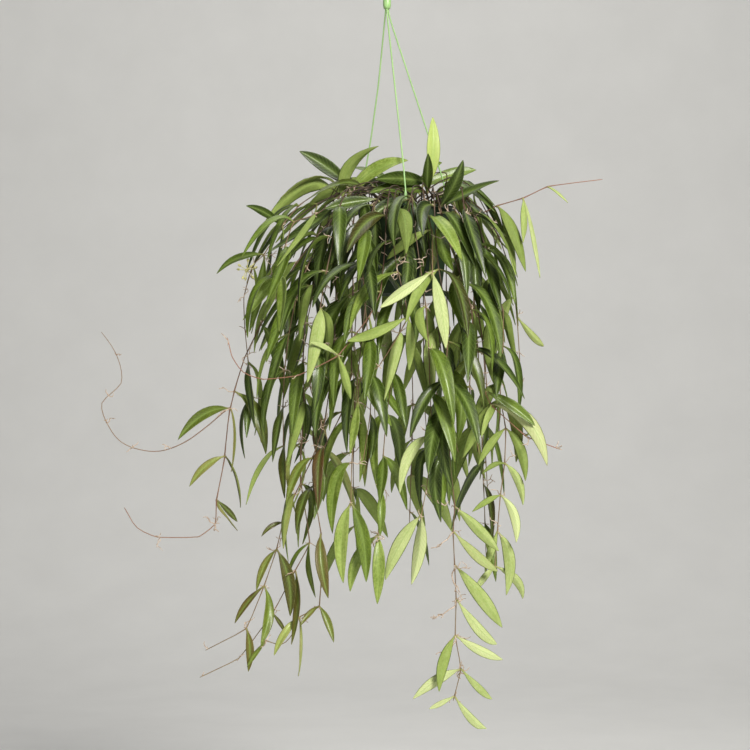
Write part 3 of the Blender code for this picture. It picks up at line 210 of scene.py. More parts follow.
def between(tree, value, low, high, to_low=0.0, to_high=1.0):
    wanted = {0: value, 1: low, 2: high, 3: to_low, 4: to_high}
    return step(tree, "ShaderNodeMapRange", wanted, clamp=True)


def bump(tree, shader, height, strength, distance):
    wanted = {"Strength": strength, "Distance": distance, "Height": height}
    tree.links.new(step(tree, "ShaderNodeBump", wanted), shader.inputs["Normal"])


def place_of(tree):
    return step(tree, "ShaderNodeTexCoord", {}, out=3)


# %% Floor and the sweep behind
FLOOR_Z = -1.32
FLOOR_REACH = 9.0
SWEEP_START = 2.2
SWEEP_RADIUS = 1.6
SWEEP_STEPS = 24
WALL_TOP_Z = 4.0


def sweep_mesh():
    """A floor that curves up into a wall behind, so that no line shows where they meet."""
    profile = [(-FLOOR_REACH, FLOOR_Z), (SWEEP_START, FLOOR_Z)]
    for k in range(1, SWEEP_STEPS + 1):
        turn = 0.5 * math.pi * k / SWEEP_STEPS
        profile.append((SWEEP_START + SWEEP_RADIUS * math.sin(turn),
                        FLOOR_Z + SWEEP_RADIUS * (1.0 - math.cos(turn))))
    profile.append((SWEEP_START + SWEEP_RADIUS, WALL_TOP_Z))
    verts = [(x, y, z) for y, z in profile for x in (-FLOOR_REACH, FLOOR_REACH)]
    faces = [[2 * k, 2 * k + 1, 2 * k + 3, 2 * k + 2] for k in range(len(profile) - 1)]
    return verts, faces


floor_finish, tree, shader = new_finish("pale_floor")
grain = noise(tree, place_of(tree), 6.0)
paint = ramp(tree, grain, [(0.3, (0.74, 0.74, 0.73)), (0.7, (0.77, 0.77, 0.76))])
feed(tree, shader, {"Base Color": paint, "Roughness": 0.9})
floor = make_piece("floor", *sweep_mesh(), floor_finish)


# %% World and panels
def panel(name, place, size, power, colour, aim=(0.0, 0.0, -0.55)):
    """A soft square light that faces the middle of the plant, or another place."""
    data = bpy.data.lights.new(name, "AREA")
    data.size = size
    data.energy = power
    data.color = colour
    item = bpy.data.objects.new(name, data)
    item.location = place
    item.rotation_euler = (Vector(aim) - Vector(place)).to_track_quat("-Z", "Y").to_euler()
    scene.collection.objects.link(item)
    return item


world = bpy.data.worlds.new("pale_room")
world.use_nodes = True
world.node_tree.nodes["Background"].inputs[0].default_value = (0.90, 0.89, 0.86, 1.0)
world.node_tree.nodes["Background"].inputs[1].default_value = 0.07
scene.world = world
scene.view_settings.view_transform = "Standard"
panel("main_light", (1.1, -2.4, 0.9), 0.9, 120.0, (1.0, 0.98, 0.93))
panel("fill_light", (-2.0, -1.9, 0.1), 1.4, 11.0, (1.0, 0.98, 0.95))
panel("back_light", (-0.4, 1.9, 2.2), 1.6, 12.0, (1.0, 1.0, 0.98))
panel("wall_light", (0.0, 0.9, 2.6), 2.4, 52.0, (1.0, 0.99, 0.97), aim=(0.0, 3.8, -0.6))

# %% [markdown]
# ## Curves, tubes and turned shapes
# The same few shapes make almost everything here: a smooth curve through given points, a rod along it,
# and an outline turned about an axis. A modifier or a bevelled curve could do the same, but computing the
# points keeps every piece exactly where the measured model has it.

# %% Sizes of the pot and the hanger, as measured, and how many sides the fine shapes get
POT_X = 0.024
RIM_Z = -0.329
POT_HEIGHT = 0.118
RIM_RADIUS = 0.0700
WALL_TOP_RADIUS = 0.0635
FOOT_RADIUS = 0.0490
WALL = 0.0018
FLANGE = 0.0026
POT_SIDES = 32
STRAND_HOLE_RADIUS = 0.0018
STRAND_RING_RADIUS = 0.0670
DRAIN_HOLES = 6
DRAIN_RADIUS = 0.0040
DRAIN_RING = 0.028
SOIL_Z = RIM_Z - 0.012
ROD_RADIUS = 0.0022
CROOK_RADIUS = 0.0100
COLLAR_TOP_Z = -0.046
COLLAR_FOOT_Z = -0.0605
COLLAR_RADIUS = 0.0054
STRAND_RADIUS = 0.0010
SOCKET_OFFSET = 0.0022
SOCKET_DEPTH = 0.0070
STRANDS = (("front", 270.0), ("left", 150.0), ("right", 30.0))
GAP = 0.0003
HOOK_STEPS = 40
HOOK_FINE_SIDES = 20
STRAND_FINE_SIDES = 14
POT_FINE_SIDES = 120
BARK_FINE_SIDES = 96
HOLE_FINE_SIDES = 24

# %% Rings and rods
def frames_along(points, start=None):
    """Tangents and a pair of side directions that turn as little as possible along the points."""
    tangents = []
    for i in range(len(points)):
        ahead = points[min(i + 1, len(points) - 1)] - points[max(i - 1, 0)]
        tangents.append(ahead.normalized())
    first = start if start else Vector((1.0, 0.0, 0.0))
    side = (first - first.dot(tangents[0]) * tangents[0]).normalized()
    sides = [side]
    for a, b in zip(tangents, tangents[1:]):
        side = a.rotation_difference(b) @ side
        side = (side - side.dot(b) * b).normalized()
        sides.append(side)
    return tangents, sides


def ring_round(place, u, v, radius, count, first=0):
    """Points evenly round a place, from the direction u towards v."""
    turns = [2.0 * math.pi * (k + first) / count for k in range(count)]
    return [place + radius * (math.cos(turn) * u + math.sin(turn) * v) for turn in turns]


def sleeve(low, high, count):
    """Faces between two rings of points, given the number of the first point of each."""
    return [[low + k, low + (k + 1) % count, high + (k + 1) % count, high + k] for k in range(count)]


def cone(ring, point):
    """Faces from a ring of point numbers to one point."""
    return [[a, b, point] for a, b in zip(ring, ring[1:] + ring[:1])]


def join(verts, faces, more, sides):
    """Add another shape's points and faces to a mesh."""
    faces.extend([[v + len(verts) for v in side] for side in sides])
    verts.extend(more)


def tube(points, radii, sides, start=None):
    """A rod through the points with a radius at each, closed by a flat face at both ends."""
    tangents, across = frames_along(points, start)
    verts = []
    for place, tangent, u, radius in zip(points, tangents, across, radii):
        verts.extend(ring_round(place, u, tangent.cross(u), radius, sides))
    faces = [list(reversed(range(sides)))]
    for i in range(len(points) - 1):
        faces.extend(sleeve(i * sides, (i + 1) * sides, sides))
    faces.append(list(range(len(verts) - sides, len(verts))))
    return verts, faces


# %% Curves and turned shapes
def catmull(points, steps=14):
    """A smooth curve through the points; returns the samples and the sample number of each point."""
    ends = [2 * points[0] - points[1]] + list(points) + [2 * points[-1] - points[-2]]
    samples = [points[0].copy()]
    marks = [0]
    for i in range(1, len(ends) - 2):
        p0, p1, p2, p3 = ends[i - 1:i + 3]
        t1 = max(1e-6, (p1 - p0).length ** 0.5)
        t2 = t1 + max(1e-6, (p2 - p1).length ** 0.5)
        t3 = t2 + max(1e-6, (p3 - p2).length ** 0.5)
        for k in range(1, steps + 1):
            t = t1 + (t2 - t1) * k / steps
            a1 = p0 * ((t1 - t) / t1) + p1 * (t / t1)
            a2 = p1 * ((t2 - t) / (t2 - t1)) + p2 * ((t - t1) / (t2 - t1))
            a3 = p2 * ((t3 - t) / (t3 - t2)) + p3 * ((t - t2) / (t3 - t2))
            b1 = a1 * ((t2 - t) / t2) + a2 * (t / t2)
            b2 = a2 * ((t3 - t) / (t3 - t1)) + a3 * ((t - t1) / (t3 - t1))
            samples.append(b1 * ((t2 - t) / (t2 - t1)) + b2 * ((t - t1) / (t2 - t1)))
        marks.append(len(samples) - 1)
    return samples, marks


def around_pot(reach, turn, height):
    """The place at a distance and a bearing from the pot's axis."""
    return Vector((POT_X + reach * math.cos(turn), reach * math.sin(turn), height))


def lathe(profile, sides):
    """Turn a closed outline of (radius, height) about the pot's axis; radius 0 is a point on it."""
    verts = []
    rows = []
    for radius, height in profile:
        if radius == 0.0:
            rows.append([len(verts)] * sides)
            verts.append(Vector((POT_X, 0.0, height)))
            continue
        rows.append(list(range(len(verts), len(verts) + sides)))
        verts.extend([around_pot(radius, 2.0 * math.pi * k / sides, height) for k in range(sides)])
    faces = []
    for a, b in zip(rows, rows[1:]):
        for k in range(sides):
            j = (k + 1) % sides
            corners = [a[k], a[j], b[j], b[k]]
            face = [v for i, v in enumerate(corners) if v != corners[i - 1]]
            if len(face) > 2:
                faces.append(face)
    return verts, faces


# %% [markdown]
# ## The hanger
# Hook, collar and strands are moulded in one soft light green plastic. It is slightly translucent and
# satin, with a fine grain from the mould. The measured solids are a rod of eight sides and strands of six;
# here the same paths are sampled finely, so that highlights run smoothly along them.

# %% Green hanger plastic
def plastic_finish(name, light, dark, rough):
    """Moulded plastic: nearly one colour, a fine grain, and handling marks that dull it in places."""
    made, tree, shader = new_finish(name)
    place = place_of(tree)
    cloud = noise(tree, place, 30.0, 4.0)
    colour = mixed(tree, between(tree, cloud, 0.3, 0.7), (*dark, 1.0), (*light, 1.0))
    smear = noise(tree, place, 90.0, 2.0)
    dull = between(tree, smear, 0.3, 0.75, rough - 0.06, rough + 0.14)
    feed(tree, shader, {"Base Color": colour, "Roughness": dull, "IOR": 1.49,
                        "Subsurface Weight": 0.12, "Subsurface Radius": (0.0015, 0.002, 0.001)})
    bump(tree, shader, noise(tree, place, 1400.0, 2.0), 0.25, 0.00006)
    return made


hanger_plastic = plastic_finish("hanger_plastic", (0.36, 0.58, 0.23), (0.30, 0.51, 0.19), 0.34)
print("finish", hanger_plastic.name)


# %% Hook and collar
def hook_path(steps):
    """Points and radii of the rod: from the crook's tip over the top, down the shank and the collar."""
    rod = CROOK_RADIUS + ROD_RADIUS
    points = []
    radii = []
    for k in range(steps + 1):
        turn = math.radians(205.0 - 205.0 * k / steps)
        points.append(Vector((rod * math.cos(turn), 0.0, rod * math.sin(turn) - CROOK_RADIUS)))
        radii.append(ROD_RADIUS * (0.8 if k == 0 else 1.0))
    for x, z in ((0.0108, -0.0185), (0.0060, -0.0270), (0.0016, -0.0340), (0.0, -0.0400)):
        points.append(Vector((x, 0.0, z)))
        radii.append(ROD_RADIUS)
    for radius, z in ((ROD_RADIUS, -0.0452), (COLLAR_RADIUS * 0.86, COLLAR_TOP_Z), (COLLAR_RADIUS, -0.0475),
                      (COLLAR_RADIUS, -0.0560), (COLLAR_RADIUS * 0.84, COLLAR_FOOT_Z)):
        points.append(Vector((0.0, 0.0, z)))
        radii.append(radius)
    return points, radii


def fine_hook():
    points, radii = hook_path(HOOK_STEPS)
    return tube(points, [radius * 0.985 for radius in radii], HOOK_FINE_SIDES, Vector((0.0, 1.0, 0.0)))


hook = make_piece("hook_and_collar", *fine_hook(), hanger_plastic)
dress(hook, "hanger_hook", slot="hanger_plastic")
print("hook", len(hook.data.polygons), "faces, top at", round(max(v.co.z for v in hook.data.vertices), 4))


# %% Strands with their clips and tails
def strand_path(name, bearing):
    turn = math.radians(bearing)
    out = Vector((math.cos(turn), math.sin(turn), 0.0))
    top = SOCKET_OFFSET * out
    foot = Vector((POT_X, 0.0, 0.0)) + STRAND_RING_RADIUS * out
    bow = {"front": -0.001, "left": 0.004, "right": 0.0}[name]
    span = foot - top
    radius = STRAND_RADIUS
    rows = [(top, COLLAR_FOOT_Z + SOCKET_DEPTH - GAP, radius), (top, COLLAR_FOOT_Z - 0.004, radius),
            (top + 0.05 * span, -0.080, radius)]
    for k in (0.35, 0.7, 0.92):
        level = -0.080 + k * (RIM_Z + 0.030 + 0.080)
        rows.append((top + (0.05 + 0.93 * k) * span - bow * math.sin(k * math.pi) * out, level, radius))
    under = RIM_Z - FLANGE
    rows += [(foot, RIM_Z + 0.018, radius), (foot, RIM_Z + 0.013, 0.0021),
             (foot, RIM_Z + GAP + 0.0010, 0.0023), (foot, RIM_Z + GAP, 0.0014),
             (foot, under - GAP, 0.0014), (foot, under - GAP - 0.0006, 0.0026),
             (foot, under - 0.0052, 0.0014), (foot + 0.0015 * out, RIM_Z - 0.0160, 0.0013),
             (foot + 0.0045 * out, RIM_Z - 0.0270, 0.0015)]
    points = [Vector((place.x, place.y, level)) for place, level, _ in rows]
    return points, [row[2] for row in rows]


def fine_strand(name, bearing):
    points, radii = strand_path(name, bearing)
    places = []
    widths = []
    for i in range(len(points) - 1):
        count = 6 if i < 6 else 2
        for k in range(count):
            places.append(points[i].lerp(points[i + 1], k / count))
            widths.append(radii[i] + (radii[i + 1] - radii[i]) * k / count)
    places.append(points[-1])
    widths.append(radii[-1])
    for _ in range(2):
        eased = list(places)
        for i in range(1, len(places) - 1):
            if places[i].z > RIM_Z + 0.022:
                eased[i] = (places[i - 1] + 2.0 * places[i] + places[i + 1]) / 4.0
        places = eased
    return tube(places, widths, STRAND_FINE_SIDES)


for name, bearing in STRANDS:
    strand = make_piece("strand_" + name, *fine_strand(name, bearing), hanger_plastic)
    dress(strand, "hanger_strand_" + name, slot="hanger_plastic")
    print(strand.name, len(strand.data.polygons), "faces")

# %% [markdown]
# ## The pot and the bark in it
# The pot is thin dark green plastic with a flat flange at the rim; the strands pass through three holes
# in the flange. It is almost hidden, but one patch of wall shows between the leaves, and from below one
# sees the foot and the drain holes. It is turned from the measured outline with many more sides and
# softened corners. The bark is one block with loose chips strewn on top.

# %% Dark green pot plastic
pot_plastic = plastic_finish("pot_plastic", (0.030, 0.058, 0.026), (0.020, 0.042, 0.019), 0.40)


# %% Outline of the pot, and cutting holes
def pot_profile():
    low = RIM_Z - POT_HEIGHT
    under = RIM_Z - FLANGE
    inner_top = WALL_TOP_RADIUS - WALL
    inner_foot = FOOT_RADIUS - WALL
    return [(0.0, low + 0.0030), (FOOT_RADIUS - 0.0060, low + 0.0030), (FOOT_RADIUS - 0.0050, low),
            (FOOT_RADIUS - 0.0008, low), (FOOT_RADIUS, low + 0.0010), (WALL_TOP_RADIUS, under),
            (RIM_RADIUS - 0.0003, under), (RIM_RADIUS, under + 0.0008), (RIM_RADIUS, RIM_Z - 0.0006),
            (RIM_RADIUS - 0.0006, RIM_Z), (inner_top, RIM_Z), (inner_foot, low + 0.0052),
            (0.0, low + 0.0052)]


def prisms(places, radius, low, high, sides):
    """Upright prisms, all in one mesh, for cutting round holes."""
    verts = []
    faces = []
    for x, y in places:
        first = len(verts)
        for height in (low, high):
            for k in range(sides):
                turn = 2.0 * math.pi * (k + 0.5) / sides
                verts.append(Vector((x + radius * math.cos(turn), y + radius * math.sin(turn), height)))
        faces.append([first + k for k in reversed(range(sides))])
        faces.append([first + sides + k for k in range(sides)])
        faces.extend(sleeve(first, first + sides, sides))
    return verts, faces


def fine_pot():
    """The pot's own outline with soft corners, turned with many sides."""
    outline = []
    profile = pot_profile()
    for i, (radius, height) in enumerate(profile):
        if 0 < i < len(profile) - 1:
            for other in (profile[i - 1], profile[i + 1]):
                away = math.hypot(other[0] - radius, other[1] - height)
                cut = min(0.0004, 0.3 * away) / away
                outline.append((radius + (other[0] - radius) * cut, height + (other[1] - height) * cut))
        else:
            outline.append((radius, height))
    return lathe(outline, POT_FINE_SIDES)


def cut_holes(piece, places, radius, low, high):
    """Round holes through a piece, cut at once and kept as plain mesh."""
    shape = prisms(places, radius, low, high, HOLE_FINE_SIDES)
    cutter = make_piece("cutter", *shape, pot_plastic, smooth=False)
    modifier = piece.modifiers.new("holes", "BOOLEAN")
    modifier.operation = "DIFFERENCE"
    modifier.object = cutter
    graph = bpy.context.evaluated_depsgraph_get()
    done = bpy.data.meshes.new_from_object(piece.evaluated_get(graph))
    piece.modifiers.clear()
    piece.data = done
    bpy.data.objects.remove(cutter, do_unlink=True)


# %% Pot
pot_low = RIM_Z - POT_HEIGHT
pot = make_piece("pot_shell", *fine_pot(), pot_plastic, smooth=False)
turns = [math.radians(bearing) for _, bearing in STRANDS]
holes = [(POT_X + STRAND_RING_RADIUS * math.cos(t), STRAND_RING_RADIUS * math.sin(t)) for t in turns]
cut_holes(pot, holes, STRAND_HOLE_RADIUS, RIM_Z - FLANGE - 0.001, RIM_Z + 0.001)
drains = [(POT_X, 0.0)]
for k in range(DRAIN_HOLES):
    turn = 2.0 * math.pi * k / DRAIN_HOLES
    drains.append((POT_X + DRAIN_RING * math.cos(turn), DRAIN_RING * math.sin(turn)))
cut_holes(pot, drains, DRAIN_RADIUS, pot_low + 0.001, pot_low + 0.0056)
pot.data.shade_smooth()
for edge in pot.data.edges:
    edge.use_edge_sharp = False
pot.data.set_sharp_from_angle(angle=math.radians(28.0))
dress(pot, "pot", slot="pot_plastic")
print("pot", len(pot.data.polygons), "faces")


# %% Potting bark
def bark_finish():
    made, tree, shader = new_finish("potting_bark")
    place = place_of(tree)
    big = noise(tree, place, 120.0, 5.0, 0.7)
    fine = noise(tree, place, 700.0, 3.0, 0.6)
    colour = ramp(tree, big, [(0.30, (0.010, 0.006, 0.004)), (0.52, (0.045, 0.025, 0.014)),
                              (0.72, (0.12, 0.07, 0.04))])
    colour = mixed(tree, between(tree, fine, 0.62, 0.75, 0.0, 0.5), colour, (0.26, 0.17, 0.10, 1.0))
    feed(tree, shader, {"Base Color": colour, "Roughness": 0.93})
    bump(tree, shader, plus(tree, big, times(tree, fine, 0.4)), 0.8, 0.0012)
    return made


bark = bark_finish()


# %% Bark block and loose chips
CHIPS = 420
CHIP_CORNERS = 6


def soil_radius(height):
    """Inner radius of the pot at a height, less the gap."""
    low = RIM_Z - POT_HEIGHT + 0.0052
    share = (height - low) / (RIM_Z - low)
    inner = (FOOT_RADIUS - WALL) + share * (WALL_TOP_RADIUS - FOOT_RADIUS)
    return inner - GAP * 1.1


def soil_profile():
    low = RIM_Z - POT_HEIGHT + 0.0052 + GAP
    return [(0.0, low), (soil_radius(low), low), (soil_radius(SOIL_Z), SOIL_Z), (0.0, SOIL_Z)]


def chip_mesh(rng):
    """Flat split chips of bark lying at all angles on the surface."""
    verts = []
    faces = []
    for _ in range(CHIPS):
        turn = rng.uniform(0.0, 2.0 * math.pi)
        reach = 0.055 * math.sqrt(rng.random())
        middle = around_pot(reach, turn, SOIL_Z + rng.uniform(-0.001, 0.003))
        u = Vector((rng.gauss(0, 1), rng.gauss(0, 1), rng.gauss(0, 0.45))).normalized()
        v = u.cross(Vector((rng.gauss(0, 0.4), rng.gauss(0, 0.4), 1.0))).normalized()
        w = u.cross(v)
        size = (rng.uniform(0.002, 0.006), rng.uniform(0.0015, 0.0035), rng.uniform(0.0006, 0.0016))
        first = len(verts)
        for level in (-1, 1):
            for k in range(CHIP_CORNERS):
                bend = 2.0 * math.pi * k / CHIP_CORNERS
                ragged = rng.uniform(0.7, 1.15)
                flat = u * size[0] * math.cos(bend) * ragged + v * size[1] * math.sin(bend) * ragged
                verts.append(middle + flat + w * size[2] * level)
        faces.append([first + k for k in reversed(range(CHIP_CORNERS))])
        faces.append([first + CHIP_CORNERS + k for k in range(CHIP_CORNERS)])
        faces.extend(sleeve(first, first + CHIP_CORNERS, CHIP_CORNERS))
    return verts, faces


block = make_piece("bark_block", *lathe(soil_profile(), BARK_FINE_SIDES), bark, smooth=False)
dress(block, "soil", slot="soil")
chips = dress(make_piece("bark_chips", *chip_mesh(random.Random(7)), bark, smooth=False), slot="soil")
print("bark chips", len(chips.data.polygons), "faces")

# %% [markdown]
# ## How the plant grows
# Each stem stands in its own hole in the bark, climbs over the rim and hangs through a few chosen points.
# Leaves sit in pairs at the nodes of a stem, and each pair is turned against the last. A leaf is one
# curve from the stem's side to its tip, with a width and an upper side. Where the photograph shows a
# single leaf clearly, its tip is given; all others follow a rule with seeded chance, and a leaf is kept
# only where a slightly larger copy of it touches nothing. Running the rule again gives the same plant as
# the measured model, leaf for leaf, and each leaf can then be drawn with as much detail as wanted.

# %% Sizes of stems and leaves, as measured
HOLE_DEPTH = 0.022
HOLE_RINGS = (0.024, 0.037, 0.050)
STEM_SIDES = 3
STEM_RADIUS = 0.0015
STEM_TIP_RADIUS = 0.0009
NODE_HALF = 0.0022
BUD = 0.004
SHOOT_RADIUS = 0.0011
SHOOT_START = 0.003
UMBEL_SIDES = 6
LEAF_THICKNESS = 0.0016
LEAF_CHANNEL = 0.22
PETIOLE_HALF = 0.0014
LEAF_STATIONS = ((0.07, 0.0), (0.34, 0.95), (0.70, 0.88))

# %% Rules of growth: spacing, the share of leaves, the plant's sides, and room to keep clear
MM = 0.001
SEED = 25
CREST_RADIUS = 0.079
CREST_REACH = 0.020
FIRST_NODE = 20.0
INTERNODE = 1.22
FRONT_LEAVES = (1.0, 0.78)
SIDE_LEAVES = (0.74, 0.36)
FRONT_SIDE = -0.040
FRONT_TOP = -0.324
BACK_TOP = -0.290
SIDE_LEVELS = (-0.262, -0.392)
LEFT_SIDE = (-0.120, -0.188)
RIGHT_SIDE = (0.116, 0.174)
STEM_ROOM = 0.0009
STEM_SKIN = 0.0004
LEAF_ROOM = 0.0011
SIGHT_DEPTH = 0.050
STEM_TRIES = 420
LEAF_TRIES = 60
CREST_SHIFT = 0.0011
NUDGE = 0.0005
UNDER_SHOWN = ("long_right", "right_edge", "right_whip", "pale_front", "mid_hook", "right_inner",
               ("front_mid", 1), ("pink_whip", 2), ("right_shoot", 3))
CROWN = ("crown_left", "crown_right", "crown_front", "crown_back", "crown_low_right", "crown_low_front")
LAID_FIRST = CROWN + ("right_whip", "pale_front")

# %% [markdown]
# ## Where the stems run
# A route gives a stem's name; the height of its crest above the rim; how far from the crest its first
# node is, plus 20; the spacing of its nodes and the length of its leaves, each at the start and at the
# end; the points that it passes through; which of these are nodes, counted from 0; and the leaf tips that
# the photograph shows, each with its node and with how far the leaf arches. Lengths and places are in
# millimetres from the hook's seat. Stems at the sides and the back have no such route and follow a rule.

